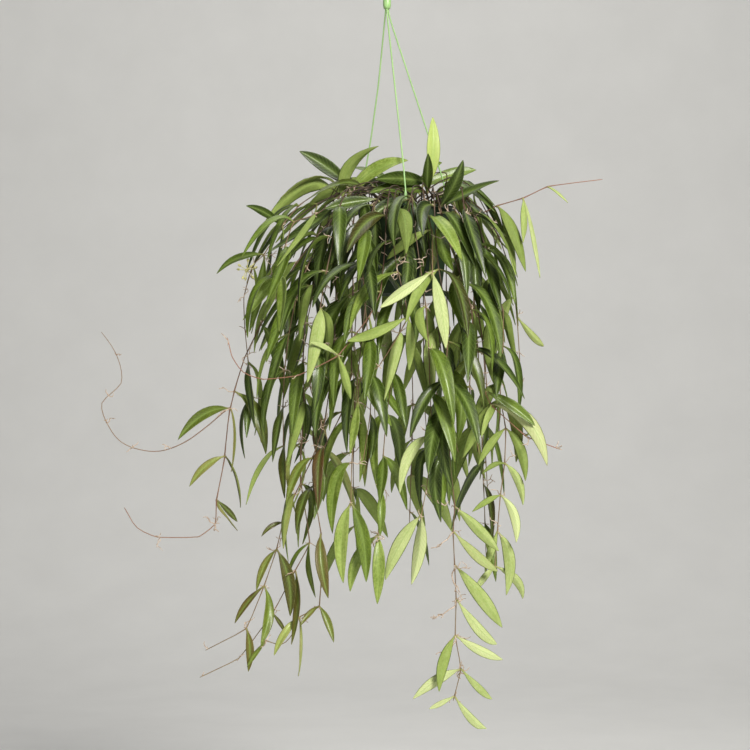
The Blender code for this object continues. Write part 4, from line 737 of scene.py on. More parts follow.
# %% Routes of the stems that can be told apart
Route = namedtuple("Route", "name crest first internode leaf via nodes aims")
ROUTES = [
    Route("long_right", 12, 8, (42, 46), (112, 88), [(60, -118, -445), (75, -138, -587), (80, -140, -674),
          (86, -140, -724), (84, -140, -756), (86, -138, -799), (88, -136, -843), (87, -135, -890),
          (94, -133, -933), (85, -130, -972)], [3, 4, 5, 6, 7, 8, 9], [(3, (142, -150, -780), -0.12),
          (4, (141, -146, -806), -0.20), (5, (147, -140, -879), -0.10), (6, (139, -140, -901), -0.34),
          (7, (148, -140, -920), -0.14), (7, (63, -150, -960), 0.02), (8, (133, -135, -966), -0.26),
          (8, (32, -150, -969), 0.12), (9, (128, -132, -1010), -0.34), (9, (69, -132, -987), -0.10)]),
    Route("right_inner", 14, -6, (36, 40), (105, 80), [(117, -62, -353), (135, -92, -431),
          (142, -104, -509), (146, -110, -587), (152, -112, -626), (150, -112, -670), (146, -110, -712),
          (141, -108, -759), (138, -106, -806)], [3, 4, 5, 6, 7, 8], [(3, (160, -120, -672), 0.10),
          (3, (117, -125, -639), 0.14), (4, (176, -120, -691), 0.10), (4, (120, -118, -670), 0.16),
          (5, (164, -118, -720), 0.10), (5, (122, -125, -680), 0.28), (6, (157, -112, -761), 0.08),
          (6, (109, -120, -732), 0.14), (7, (147, -112, -832), 0.08), (7, (125, -118, -812), 0.06),
          (8, (140, -108, -846), 0.08), (8, (126, -120, -835), 0.10)]),
    Route("right_edge", 16, 18, (34, 36), (105, 80), [(146, -22, -363), (165, -32, -421), (173, -36, -478),
          (176, -36, -524), (178, -36, -570)], [2, 3, 4], [(2, (210, -45, -520), -0.34)]),
    Route("right_whip", 26, 12, (30, 30), (110, 80), [(116, -30, -340), (147, -32, -329), (181, -34, -319),
          (214, -36, -304), (249, -38, -299), (283, -40, -295)], [1, 2, 3, 4], [(1, (184, -45, -418), 0.22),
          (1, (166, -60, -424), 0.22), (2, (180, -50, -380), 0.05), (2, (211, -45, -405), 0.12),
          (3, (238, -50, -322), 0.18)]),
    Route("right_shoot", 18, 28, (40, 40), (112, 84), [(96, -122, -445), (118, -128, -561),
          (127, -129, -580), (142, -128, -600), (164, -127, -618), (181, -125, -630), (216, -120, -652)],
          [2, 3, 5], [(2, (184, -142, -622), -0.04), (2, (105, -142, -550), 0.05),
          (3, (120, -140, -636), 0.16), (3, (158, -138, -674), 0.10), (5, (197, -130, -624), 0.10)]),
    Route("mid_low", 16, -8, (40, 46), (108, 84), [(16, -140, -472), (3, -152, -612), (-5, -152, -704),
          (-15, -150, -767)], [2, 3], [(2, (-6, -160, -761), 0.05), (3, (-14, -150, -845), 0.05),
          (3, (-28, -140, -831), 0.06)]),
    Route("mid_pair", 20, 30, (42, 46), (110, 92), [(-30, -136, -484), (-44, -150, -612), (-46, -152, -676),
          (-46, -152, -722)], [3], [(3, (-58, -150, -818), 0.05), (3, (-30, -158, -817), 0.05)]),
    Route("mid_hook", 14, -10, (44, 46), (110, 92), [(47, -142, -484), (57, -150, -587), (58, -152, -666),
          (48, -152, -699), (43, -152, -730)], [3, 4], [(4, (-3, -152, -817), 0.02),
          (4, (32, -152, -817), 0.02)]),
    Route("low_left", 18, -8, (42, 44), (108, 72), [(-72, -118, -484), (-91, -134, -626),
          (-113, -134, -703), (-133, -133, -741), (-137, -131, -789), (-158, -128, -832),
          (-190, -124, -879), (-233, -120, -917)], [3, 4, 5, 6], [(3, (-164, -140, -769), 0.22),
          (4, (-168, -137, -831), 0.12), (4, (-141, -142, -858), 0.06), (5, (-196, -140, -872), 0.04),
          (5, (-166, -134, -897), 0.06), (6, (-185, -127, -932), 0.05)]),
    Route("low_left_mid", 20, 26, (42, 44), (108, 76), [(-98, -110, -471), (-108, -126, -600),
          (-109, -128, -689), (-106, -128, -765), (-122, -126, -809), (-151, -122, -859),
          (-173, -120, -891), (-194, -118, -918), (-239, -114, -945)], [3, 4, 5, 7], [
          (3, (-88, -138, -845), 0.05), (3, (-115, -122, -814), 0.10), (4, (-131, -134, -889), 0.04),
          (5, (-139, -124, -881), 0.05)]),
    Route("low_mid", 14, -6, (42, 44), (110, 84), [(-54, -128, -458), (-64, -144, -587), (-74, -146, -689),
          (-84, -144, -766), (-83, -142, -822), (-92, -141, -848), (-115, -138, -878), (-140, -136, -897),
          (-162, -134, -901)], [3, 5, 6, 8], [(3, (-74, -150, -842), 0.05), (5, (-69, -142, -898), 0.08),
          (5, (-112, -150, -876), 0.10), (6, (-126, -142, -930), 0.10), (6, (-143, -132, -924), 0.12),
          (8, (-181, -132, -915), 0.10)]),
    Route("left_long", 22, -6, (38, 40), (110, 70), [(-120, -70, -406), (-162, -82, -483),
          (-189, -84, -543), (-209, -84, -599), (-215, -84, -630), (-218, -84, -664), (-222, -84, -714),
          (-226, -84, -753), (-244, -84, -765), (-272, -83, -768), (-300, -82, -764), (-328, -81, -752),
          (-346, -80, -731)], [3, 5, 6, 7, 8, 10], [(3, (-209, -96, -677), 0.05),
          (3, (-274, -88, -640), 0.24), (5, (-259, -88, -701), 0.14), (5, (-195, -92, -724), 0.05),
          (6, (-212, -98, -747), -0.05), (6, (-205, -82, -750), 0.16)]),
    Route("pink_whip", 24, 30, (44, 44), (105, 80), [(-10, -146, -452), (-24, -160, -481),
          (-63, -172, -530), (-86, -176, -546), (-116, -178, -556), (-159, -178, -560), (-187, -178, -548),
          (-197, -178, -531), (-202, -178, -511)], [1, 2, 4, 5, 7], [(1, (-30, -176, -545), 0.05),
          (2, (-98, -186, -514), 0.14), (2, (-47, -184, -586), -0.08)]),
    Route("left_edge", 20, 6, (30, 40), (116, 86), [(-159, -36, -383), (-186, -46, -445), (-186, -54, -515),
          (-176, -60, -588), (-165, -62, -641)], [], []),
    Route("left_inner", 16, -8, (34, 42), (112, 84), [(-106, -96, -418), (-129, -108, -509),
          (-135, -112, -613), (-132, -112, -686)], [], []),
    Route("front_left", 16, -10, (34, 44), (115, 88), [(-74, -116, -393), (-90, -132, -484),
          (-92, -138, -574), (-84, -138, -638)], [], []),
    Route("front_mid_left", 12, 20, (34, 44), (112, 90), [(-33, -136, -394), (-25, -156, -498),
          (-20, -160, -587), (-30, -158, -658)], [], []),
    Route("front_mid", 16, -6, (34, 44), (115, 92), [(8, -142, -403), (24, -164, -487), (-9, -168, -543),
          (-33, -168, -565), (-40, -166, -593)], [1, 2, 3, 4], [(1, (-52, -176, -512), -0.10),
          (1, (24, -174, -550), 0.05), (3, (5, -174, -620), 0.05), (4, (-48, -172, -658), 0.06),
          (4, (-30, -176, -683), 0.05)]),
    Route("front_mid_right", 12, 18, (34, 44), (112, 88), [(64, -126, -402), (70, -150, -498),
          (76, -156, -587), (82, -156, -651)], [], []),
    Route("front_right", 14, -10, (34, 44), (112, 86), [(83, -120, -388), (106, -132, -484),
          (108, -136, -582), (116, -134, -654)], [], []),
    Route("right_upper", 16, -8, (34, 42), (108, 84), [(119, -84, -378), (147, -88, -470), (152, -88, -548),
          (147, -86, -627)], [], []),
    Route("pale_front", 26, 16, (26, 28), (112, 96), [(57, -112, -366), (62, -138, -396), (56, -156, -427)],
          [0, 2], [(0, (1, -132, -404), 0.04), (0, (28, -142, -428), 0.06), (2, (-10, -172, -470), -0.06),
          (2, (74, -165, -522), 0.05)]),
    Route("crown_low_right", 4, 10, (30, 30), (112, 100), [(68, -62, -334), (76, -72, -356)], [0, 1], [
          (0, (98, -112, -276), 0.02), (0, (136, -112, -303), 0.12), (1, (101, -106, -388), 0.20),
          (1, (92, -122, -411), 0.12)]),
    Route("left_crest", 30, 8, (28, 30), (118, 96), [(-105, -50, -323), (-139, -72, -359),
          (-162, -80, -394), (-171, -82, -407)], [1, 2], [(1, (-184, -104, -335), 0.10),
          (1, (-183, -92, -430), 0.24), (2, (-221, -80, -424), 0.16), (2, (-177, -96, -496), 0.05)]),
    Route("left_crest_low", 18, 8, (28, 32), (122, 100), [(-93, -84, -334), (-124, -110, -362),
          (-139, -122, -409), (-144, -124, -458)], [], []),
    Route("crown_low_front", 0, 10, (30, 30), (112, 100), [(26, -52, -320), (28, -76, -326)], [1], [
          (1, (-36, -104, -367), 0.12), (1, (2, -114, -388), 0.10)]),
    Route("crown_left", 0, 10, (30, 30), (118, 110), [(-16, -4, -314), (-44, -12, -306), (-60, -26, -326)],
          [1, 2], [(1, (-118, -10, -254), 0.06), (1, (-121, -22, -319), 0.03), (2, (28, -46, -270), 0.26),
          (2, (-4, -72, -281), 0.10)]),
    Route("crown_right", 0, 10, (30, 30), (112, 80), [(42, -10, -320), (54, -18, -312), (60, -14, -294)],
          [1, 2], [(1, (54, -60, -262), 0.05), (1, (-24, -54, -314), 0.10), (2, (61, -18, -209), 0.02),
          (2, (-16, -66, -297), 0.08)]),
    Route("crown_front", 0, 10, (30, 30), (115, 110), [(-6, -48, -318), (-14, -74, -324)], [1], [
          (1, (-82, -92, -338), 0.05), (1, (25, -128, -431), 0.10)]),
    Route("crown_back", 0, 10, (30, 30), (118, 110), [(34, 30, -313), (43, 50, -298), (15, 58, -305)],
          [1, 2], [(1, (124, 70, -271), 0.12), (1, (75, 96, -263), 0.12), (2, (-51, 80, -267), 0.15),
          (2, (-79, 100, -305), 0.20)]),
]

# %% Bare shoots
SHOOTS = [
    ("left_long", 3, [(-253, -82, -635), (-276, -78, -648), (-300, -76, -655), (-325, -75, -653),
                      (-350, -72, -643), (-367, -70, -622), (-376, -68, -592), (-351, -66, -566),
                      (-355, -64, -534), (-367, -62, -512), (-378, -60, -498)]),
]


# %% Routes at the sides and the back, and the holes in the bark
SIDE_STEMS = 13
CREST_STEMS = 5


def side_routes():
    """Stems at the sides and the back, by rule: they hang from the rim all the way round."""
    routes = []
    rng = random.Random(SEED)
    bearings = [-14.0 + 208.0 * k / (SIDE_STEMS - 1) for k in range(SIDE_STEMS)]
    for number, bearing in enumerate(bearings):
        turn = math.radians(bearing + rng.uniform(-5.0, 5.0))
        drop = rng.uniform(150.0, 420.0) if number % 2 else rng.uniform(300.0, 470.0)
        via = []
        steps = max(2, round(drop / 95.0))
        for k in range(1, steps + 1):
            share = k / steps
            reach = 98.0 + 34.0 * math.sin(min(1.0, share * 1.3) * 1.6) + rng.uniform(-8.0, 8.0)
            reach -= 18.0 * math.cos(turn)
            sway = turn + rng.uniform(-0.05, 0.05)
            level = RIM_Z / MM - 30.0 - drop * share
            via.append((POT_X / MM + reach * math.cos(sway), reach * math.sin(sway), level))
        length = rng.uniform(82.0, 92.0)
        first = 14 if number % 2 else -8
        routes.append(Route("side", 10 + 16 * (number % 3), first, (36, 44), (116, length), via, [], []))
    for number in range(CREST_STEMS):
        turn = math.radians(4.0 + 46.0 * number + rng.uniform(-6.0, 6.0))
        via = []
        for reach, level in ((92.0, 24.0), (116.0, -22.0), (126.0, -75.0)):
            via.append((POT_X / MM + reach * math.cos(turn), reach * math.sin(turn), RIM_Z / MM + level))
        routes.append(Route("crest", 34 + 10 * (number % 2), 8, (30, 36), (120, 100), via, [], []))
    return routes


def bearing_of(route):
    x, y, _ = route.via[0]
    return math.atan2(y, x - POT_X / MM)


def assign_holes(routes):
    """One hole for each stem, in the order of their bearings, on three rings in turn."""
    order = sorted(range(len(routes)), key=lambda i: bearing_of(routes[i]))
    holes = [None] * len(routes)
    for rank, index in enumerate(order):
        turn = -math.pi + 2.0 * math.pi * rank / len(routes)
        spare = rank >= len(routes) - len(routes) % 3
        radius = HOLE_RINGS[2 - rank % 2 if spare else rank % 3]
        holes[index] = (POT_X + radius * math.cos(turn), radius * math.sin(turn))
    return holes


def route_points(route, hole, shift, nudges):
    """The points that a stem passes through, from the foot of its hole.

    The shift moves the crest, and half as much the depth of the rest. Each point has a nudge of its own too.
    """
    x, y = hole
    rise = SOIL_Z + 0.010 + abs(shift.y) * 1.5
    points = [Vector((x, y, SOIL_Z - HOLE_DEPTH)), Vector((x, y, SOIL_Z)), Vector((x, y, rise))]
    marks = []
    sink = Vector((0.0, shift.y * 0.5, 0.0))
    via = [Vector(place) * MM + sink + nudge for place, nudge in zip(route.via, nudges)]
    if route.crest:
        middle = around_pot(CREST_RADIUS, bearing_of(route), RIM_Z + route.crest * MM)
        points.append(middle + Vector((shift.x, shift.y, 0.3 * abs(shift.z))))
    crest = len(points) - 1
    for place in via:
        marks.append(len(points))
        points.append(place)
    return points, crest, marks


# %% [markdown]
# ## From a route to a stem with leaves
# A smooth curve through the route's points is the stem's run. Nodes are put on it from the crest on, and a
# ring of three points goes on both sides of every node, with more rings only where the stem bends. A leaf
# is a curve with a base, a bend and a tip, which is enough to find its place and its upper side anywhere.

# %% Two small helpers for numbers
def unit(value):
    """The value, held between 0 and 1."""
    return min(1.0, max(0.0, value))


def part_way(low, high, share):
    """The value that is a share of the way from low to high."""
    return low + (high - low) * share


# %% A stem as rings of three points
Span = namedtuple("Span", "ring faces via")


def side_quad(i, k):
    """The four corners of one side of a stem between ring i and the next."""
    return sleeve(STEM_SIDES * i, STEM_SIDES * (i + 1), STEM_SIDES)[k]


class Stem:
    """One stem: its ring centres, their frames and radii, and the spans that carry leaves."""

    def __init__(self, name, points, spans, start):
        self.name = name
        self.points = points
        self.spans = spans
        self.tangents, self.across = frames_along(points, start)
        count = len(points)
        self.radii = []
        for i in range(count):
            share = max(0.0, (i - 3) / max(1, count - 4))
            self.radii.append(part_way(STEM_RADIUS, STEM_TIP_RADIUS, share))
        self.leaves = []
        self.shoots = {}

    def ring(self, i, extra=0.0):
        u = self.across[i]
        return ring_round(self.points[i], u, self.tangents[i].cross(u), self.radii[i] + extra, STEM_SIDES)

    def middle(self, i):
        """The place half way between a ring and the next, where a node is."""
        return (self.points[i] + self.points[i + 1]) / 2

    def side(self, i, face):
        """Outward direction of one of the sides at a ring."""
        u = self.across[i]
        v = self.tangents[i].cross(u)
        turn = 2.0 * math.pi * (face + 0.5) / STEM_SIDES
        return (math.cos(turn) * u + math.sin(turn) * v).normalized()

    def solid(self, extra):
        verts = []
        for i in range(len(self.points)):
            verts.extend(self.ring(i, extra))
        return verts, [side_quad(i, k) for i in range(len(self.points) - 1) for k in range(STEM_SIDES)]


# %% Nodes along a stem, and its rings
def along(samples, lengths, distance):
    """The point at a distance along the sampled curve."""
    low = 0
    high = len(lengths) - 1
    while high - low > 1:
        middle = (low + high) // 2
        if lengths[middle] <= distance:
            low = middle
        else:
            high = middle
    share = (distance - lengths[low]) / max(1e-9, lengths[high] - lengths[low])
    return samples[low].lerp(samples[high], unit(share))


def node_places(route, lengths, crest_mark, marks):
    """Distances along the stem at which leaves grow, with the route's own point for each, or None."""
    total = lengths[-1]
    fixed = [(lengths[marks[k]], k) for k in route.nodes]
    stop = fixed[0][0] if fixed else total + 0.001
    places = []
    crest = lengths[crest_mark]
    at = crest + (route.first - FIRST_NODE) * MM
    while at < stop - 0.6 * route.internode[0] * MM:
        places.append((at, None))
        share = at / total
        step = part_way(*route.internode, share)
        at += step * (1.0 if at < crest + CREST_REACH else INTERNODE) * MM
    places.extend(fixed)
    return [(min(at, total - 1.6 * NODE_HALF), via) for at, via in places if at < total + 0.0005]


def ring_stops(nodes, lengths, marks):
    """Distances of the stem's rings, and after each whether a node follows, with the route's own point."""
    stops = [0.0, lengths[marks[1]], lengths[marks[2]]]
    kinds = [None, None, None]
    for at, via in nodes:
        if at - NODE_HALF <= stops[-1] + 0.004:
            continue
        stops.extend((at - NODE_HALF, at + NODE_HALF))
        kinds.extend(("node", via))
    if lengths[-1] - stops[-1] > 0.004:
        stops.append(lengths[-1])
        kinds.append(None)
    return stops, kinds


def rings_between(samples, lengths, low, high):
    """Extra ring centres where the stem bends between two stops."""
    before = along(samples, lengths, low + 0.001) - along(samples, lengths, low)
    after = along(samples, lengths, high) - along(samples, lengths, high - 0.001)
    extra = min(5, int(before.angle(after, 0.0) / math.radians(34.0)))
    return [along(samples, lengths, low + (high - low) * k / (extra + 1)) for k in range(1, extra + 1)]


# %% One stem from its route
def make_stem(route, hole, shift, nudges):
    points, crest, marks = route_points(route, hole, shift, nudges)
    samples, sample_marks = catmull(points)
    lengths = [0.0]
    for a, b in zip(samples, samples[1:]):
        lengths.append(lengths[-1] + (b - a).length)
    nodes = node_places(route, lengths, sample_marks[crest], [sample_marks[m] for m in marks])
    stops, kinds = ring_stops(nodes, lengths, sample_marks)
    rings = []
    spans = []
    for index, stop in enumerate(stops):
        if index and kinds[index - 1] != "node":
            rings.extend(rings_between(samples, lengths, stops[index - 1], stop))
        if kinds[index] == "node":
            faces = (len(spans) % STEM_SIDES, (len(spans) + 1) % STEM_SIDES)
            spans.append(Span(len(rings), faces, kinds[index + 1]))
        rings.append(along(samples, lengths, stop))
    turn = bearing_of(route)
    start = Vector((math.cos(turn + 0.785), math.sin(turn + 0.785), 0.0))
    return Stem(route.name, rings, spans, start)


# %% Leaves as curves
Leaf = namedtuple("Leaf", "base side bend tip normal half")


def leaf_curve(leaf, share):
    a = leaf.base.lerp(leaf.bend, share)
    b = leaf.bend.lerp(leaf.tip, share)
    return a.lerp(b, share)


def leaf_frame(leaf, share):
    a = leaf.base.lerp(leaf.bend, share)
    b = leaf.bend.lerp(leaf.tip, share)
    tangent = (b - a).normalized()
    normal = leaf.normal - leaf.normal.dot(tangent) * tangent
    if normal.length < 0.15:
        normal = leaf.side - leaf.side.dot(tangent) * tangent
    normal.normalize()
    return tangent, normal, tangent.cross(normal)


# %% A leaf's rings, and the faces between them
def leaf_rings(leaf, extra=0.0):
    """Rings of three points: the two edges of the channelled blade, and its keel."""
    rings = []
    for share, width in LEAF_STATIONS:
        place = leaf_curve(leaf, share)
        _, normal, across = leaf_frame(leaf, share)
        half = max(PETIOLE_HALF, width * leaf.half)
        lift = LEAF_CHANNEL * half if width else 0.5 * PETIOLE_HALF
        keel = 0.5 * LEAF_THICKNESS if width else 0.8 * PETIOLE_HALF
        out = place + (lift + extra) * normal
        half += extra
        rings.append([out + half * across, place - (keel + extra) * normal, out - half * across])
    tip = leaf.tip + extra * (leaf.tip - leaf.bend).normalized()
    return rings, tip


def band(a, b, verts):
    """Side triangles between two rings of three points, each side split so that it bulges outward."""
    middle = sum((verts[v] for v in a + b), Vector()) / 6
    faces = []
    for k in range(3):
        j = (k + 1) % 3
        rising = (verts[a[k]] + verts[b[j]]) / 2 - middle
        falling = (verts[a[j]] + verts[b[k]]) / 2 - middle
        outward = (verts[b[j]] - verts[a[k]]).cross(verts[b[k]] - verts[a[j]])
        if outward.dot(rising + falling) < 0.0:
            outward = -outward
        if rising.dot(outward) > falling.dot(outward):
            faces.extend([[a[k], a[j], b[j]], [a[k], b[j], b[k]]])
        else:
            faces.extend([[a[k], a[j], b[k]], [a[j], b[j], b[k]]])
    return faces


def bands(count, verts):
    """Side triangles of a body of several rings of three points."""
    faces = []
    for low in range(0, 3 * (count - 1), 3):
        faces.extend(band([low, low + 1, low + 2], [low + 3, low + 4, low + 5], verts))
    return faces


def root_faces(quad, ring, verts):
    """Triangles from the four corners of a stem's side to a leaf's first ring, with the least twist."""
    corners = [verts[v] for v in quad]
    points = [verts[v] for v in ring]
    middle_a = sum(corners, Vector()) / 4
    middle_b = sum(points, Vector()) / 3
    best = None
    for turn in range(4):
        for shift in range(3):
            total = 0.0
            for k, m in ((0, 0), (1, 1), (2, 1), (3, 2)):
                a = (corners[(k + turn) % 4] - middle_a).normalized()
                total += a.dot((points[(m + shift) % 3] - middle_b).normalized())
            if best is None or total > best[0]:
                best = (total, turn, shift)
    _, turn, shift = best
    q = [quad[(k + turn) % 4] for k in range(4)]
    r = [ring[(m + shift) % 3] for m in range(3)]
    return [[q[0], q[1], r[1]], [q[0], r[1], r[0]], [q[1], q[2], r[1]], [q[2], q[3], r[2]],
            [q[2], r[2], r[1]], [q[3], q[0], r[0]], [q[3], r[0], r[2]]]


def leaf_solid(leaf, extra):
    """A closed, slightly larger copy of the blade, from its petiole on, for testing what is clear."""
    rings, tip = leaf_rings(leaf, extra)
    middle = sum(rings[0], Vector()) / 3
    start = leaf.base + (middle - leaf.base) * 0.36
    rings.insert(0, [start + (v - middle) * 0.75 for v in rings[0]])
    verts = [v for ring in rings for v in ring] + [tip]
    last = 3 * (len(rings) - 1)
    return verts, [[2, 1, 0]] + bands(len(rings), verts) + cone([last, last + 1, last + 2], len(verts) - 1)


# %% [markdown]
# ## Keeping apart what grows
# Everything that stands is kept in search trees. A slightly larger copy of each new stem or leaf is tested
# against them, and changed a little at every try until it is clear. The random numbers of a try are seeded
# with the numbers of its stem, node and side, so one leaf's tries never change another leaf.

# %% Room for new growth
def corners_of(verts):
    """Lowest and highest corner of the box round the points."""
    return [min(v[i] for v in verts) for i in range(3)], [max(v[i] for v in verts) for i in range(3)]


class Room:
    """What is already standing, for testing whether something new is clear of it."""

    def __init__(self):
        self.items = []

    def add(self, verts, faces):
        self.items.append((*corners_of(verts), BVHTree.FromPolygons(verts, faces)))

    def clear(self, verts, faces):
        low, high = corners_of(verts)
        tree = None
        for other_low, other_high, other in self.items:
            if low[0] > other_high[0] or low[1] > other_high[1] or low[2] > other_high[2]:
                continue
            if high[0] < other_low[0] or high[1] < other_low[1] or high[2] < other_low[2]:
                continue
            tree = tree or BVHTree.FromPolygons(verts, faces)
            if tree.overlap(other):
                return False
        return True


def wander(rng, size):
    return Vector((rng.gauss(0.0, size), rng.gauss(0.0, size), rng.gauss(0.0, size)))


# %% A leaf by rule
def outward_at(place):
    """Level direction away from the pot's axis."""
    return Vector((place.x - POT_X, place.y, 0.0)).normalized()


def half_width(length):
    return 0.5 * min(0.125 * length + 0.0062, 0.19 * length)


def ruled_leaf(stem, span, face, length, rng, urge):
    """A leaf that leaves the stem sideways and hangs, its upper side turned outward."""
    ring = span.ring
    side = stem.side(ring, face)
    base = stem.middle(ring) + side * stem.radii[ring] * 0.7
    tangent = stem.tangents[ring]
    out = outward_at(base)
    flat = Vector((side.x, side.y, 0.0))
    fall = unit((RIM_Z - base.z) / 0.24)
    spread = (0.80 * (1.0 - fall) ** 1.4 + 0.12) * rng.uniform(0.4, 1.3)
    hang = Vector((0.0, 0.0, -1.0)) + flat * rng.uniform(0.20, 0.80) + out * spread
    rise = rng.uniform(0.0, 0.06)
    if tangent.z > -0.45:
        level = Vector((side.x, side.y, max(0.0, side.z)))
        hang = level * rng.uniform(0.25, 0.70) + out * rng.uniform(0.55, 1.0)
        hang.z += rng.uniform(-0.85, -0.25) if tangent.z < 0.4 else rng.uniform(-0.55, 0.12)
        rise = rng.uniform(0.12, 0.22)
    hang = (hang + wander(rng, 0.14) + out * 0.35 * urge).normalized()
    lift = Vector((0.0, 0.0, rng.uniform(0.0, 0.35)))
    away = (side * 0.9 + tangent * 0.25 + out * 0.15 + lift).normalized()
    tip = base + hang * length
    bend = base + away * length * rng.uniform(0.24, 0.38) + hang * length * 0.12
    bend.z += rise * length
    normal = out * 0.95 + Vector((0.0, 0.0, 0.45)) + side * 0.35 + wander(rng, 0.34)
    if rng.random() < 0.10:
        normal = -normal
    across = hang.cross(normal).normalized()
    bend += across * length * rng.uniform(-0.08, 0.08)
    return Leaf(base, side, bend, tip, normal, half_width(length) * rng.uniform(0.92, 1.08))


# %% A leaf whose tip is known
def shows_under(stem, via):
    return stem.name in UNDER_SHOWN or (stem.name, via) in UNDER_SHOWN


def aimed_leaf(stem, span, face, target, rise, rng, attempt):
    """A leaf whose tip is where the photograph shows it. The rise is how far it arches, or sags if minus."""
    ring = span.ring
    side = stem.side(ring, face)
    base = stem.middle(ring) + side * stem.radii[ring] * 0.7
    tip = Vector(target) * MM + wander(rng, 0.0007 * attempt) + side * 0.0006 * attempt
    reach = tip - base
    length = reach.length
    out = outward_at(base)
    lean = Vector((0.0, 0.0, rise)) + side * (0.13 + 0.008 * attempt) + out * 0.05
    bend = base + reach * 0.42 + lean * length
    viewer = Vector((0.0, -1.0, 0.0))
    normal = out * 0.4 + viewer * 0.9 + Vector((0.0, 0.0, 0.35)) + wander(rng, 0.16 + 0.03 * attempt)
    if shows_under(stem, span.via):
        normal = -normal
    return Leaf(base, side, bend, tip, normal, half_width(length) * (1.15 if stem.name in CROWN else 1.0))


# %% What a leaf has to keep to
def within_outline(leaf):
    """True where a leaf keeps inside the plant's sides at the level of its tip, and below its top."""
    point = leaf.tip
    middle = leaf_curve(leaf, 0.4)
    if max(point.z, middle.z) > (FRONT_TOP if middle.y < FRONT_SIDE else BACK_TOP):
        return False
    high, low = SIDE_LEVELS
    share = unit((high - point.z) / (high - low))
    return part_way(*LEFT_SIDE, share) < point.x < part_way(*RIGHT_SIDE, share)


def free_face(stem, span, target, taken):
    """The free side of the stem that looks most towards the target."""
    ring = span.ring
    toward = (Vector(target) * MM - stem.points[ring]).normalized()
    faces = [k for k in range(STEM_SIDES) if k not in taken]
    return max(faces, key=lambda k: stem.side(ring, k).dot(toward))


# %% [markdown]
# ## Growing the plant in order
# The crown's stems are laid first, each with its known leaves, and then the other stems. The bud cluster
# and the bare shoot follow, then the other leaves with known tips, and last the leaves by rule. What comes
# later gives way to what stands, so the leaves that the photograph shows clearly keep their places.

# %% Leaves of one stem: known ones, and those by rule
def grow_aimed(number, stem, route, room):
    """The stem's leaves whose tips are known, each clear of what stands; returns how many had no room."""
    missed = 0
    for span_index, span in enumerate(stem.spans):
        aims = [aim[1:] for aim in route.aims if aim[0] == span.via]
        taken = [stem.shoots[span_index]] if span_index in stem.shoots else []
        for target, rise in aims:
            face = free_face(stem, span, target, taken)
            taken.append(face)
            for attempt in range(LEAF_TRIES):
                rng = random.Random("%d-%d-%d-%d" % (number, span_index, face, attempt))
                leaf = aimed_leaf(stem, span, face, target, rise, rng, attempt)
                if settle(stem, span_index, face, leaf, room):
                    break
            else:
                missed += 1
    return missed


def grow_ruled(number, stem, route, room):
    """The leaves of a stem by rule, each clear of what stands; returns how many found no room."""
    missed = 0
    total = len(stem.spans)
    for span_index, span in enumerate(stem.spans):
        if span.via is not None:
            continue
        share = span_index / max(1, total - 1)
        base_length = part_way(*route.leaf, share) * MM
        for order, face in enumerate(span.faces):
            pick = random.Random("%d/%d/%d" % (number, span_index, face))
            keep = (SIDE_LEAVES if route.name == "side" else FRONT_LEAVES)[order]
            if pick.random() > keep:
                continue
            length = base_length * pick.uniform(0.88, 1.14)
            for attempt in range(LEAF_TRIES):
                rng = random.Random("%d-%d-%d-%d" % (number, span_index, face, attempt))
                urge = attempt / LEAF_TRIES
                leaf = ruled_leaf(stem, span, face, length * (1.0 - 0.35 * urge ** 2), rng, urge)
                if within_outline(leaf) and settle(stem, span_index, face, leaf, room):
                    break
            else:
                missed += 1
    return missed


# %% Drawing a bare shoot
def shoot_rings(places):
    """Rings of three points along a bare shoot that leaves its stem sideways, the second point lowest."""
    tangents, across = frames_along(places, Vector((0.0, 0.0, -1.0)))
    rings = []
    for i in range(len(places) - 1):
        u = across[i]
        radius = SHOOT_RADIUS * (1.0 - 0.3 * i / len(places))
        rings.append(ring_round(places[i], u, tangents[i].cross(u), radius, 3, -1))
    return rings, places[-1]


def grow_shoots(stems, routes, room):
    """Draw the bare shoots out of their stems before any leaf is placed."""
    for name, via, places in SHOOTS:
        number = [route.name for route in routes].index(name)
        stem = stems[number]
        for span_index, span in enumerate(stem.spans):
            if span.via == via:
                break
        first = Vector(places[0]) * MM
        toward = first - stem.points[span.ring]
        face = max(range(STEM_SIDES), key=lambda k: stem.side(span.ring, k).dot(toward))
        side = stem.side(span.ring, face)
        base = stem.middle(span.ring)
        points = [base + side * SHOOT_START] + [Vector(place) * MM for place in places]
        samples, _ = catmull(points, 2)
        rings, _ = shoot_rings(samples)
        verts = [v for ring in rings for v in ring]
        room.add(verts, bands(len(rings), verts))
        stem.leaves.append((span_index, face, samples))
        stem.shoots[span_index] = face


# %% Leaves drawn out of a stem's side, and whether they fit
def draw_out(quad, growth, verts):
    """The faces of a leaf or a bare shoot that takes the place of one side of the stem."""
    rings, tip = shoot_rings(growth) if isinstance(growth, list) else leaf_rings(growth)
    faces = []
    before = quad
    for ring in rings:
        now = list(range(len(verts), len(verts) + 3))
        verts.extend(ring)
        faces.extend(root_faces(quad, now, verts) if before is quad else band(before, now, verts))
        before = now
    verts.append(tip)
    return faces + cone(before, len(verts) - 1)


def crosses_itself(stem, span_index, face, leaf):
    """True where the leaf, drawn out of its stem, has a face that cuts another of its faces."""
    ring = stem.spans[span_index].ring
    verts = stem.ring(ring) + stem.ring(ring + 1)
    faces = draw_out(side_quad(0, face), leaf, verts)
    tree = BVHTree.FromPolygons(verts, faces)
    return any(a < b and not set(faces[a]) & set(faces[b]) for a, b in tree.overlap(tree))


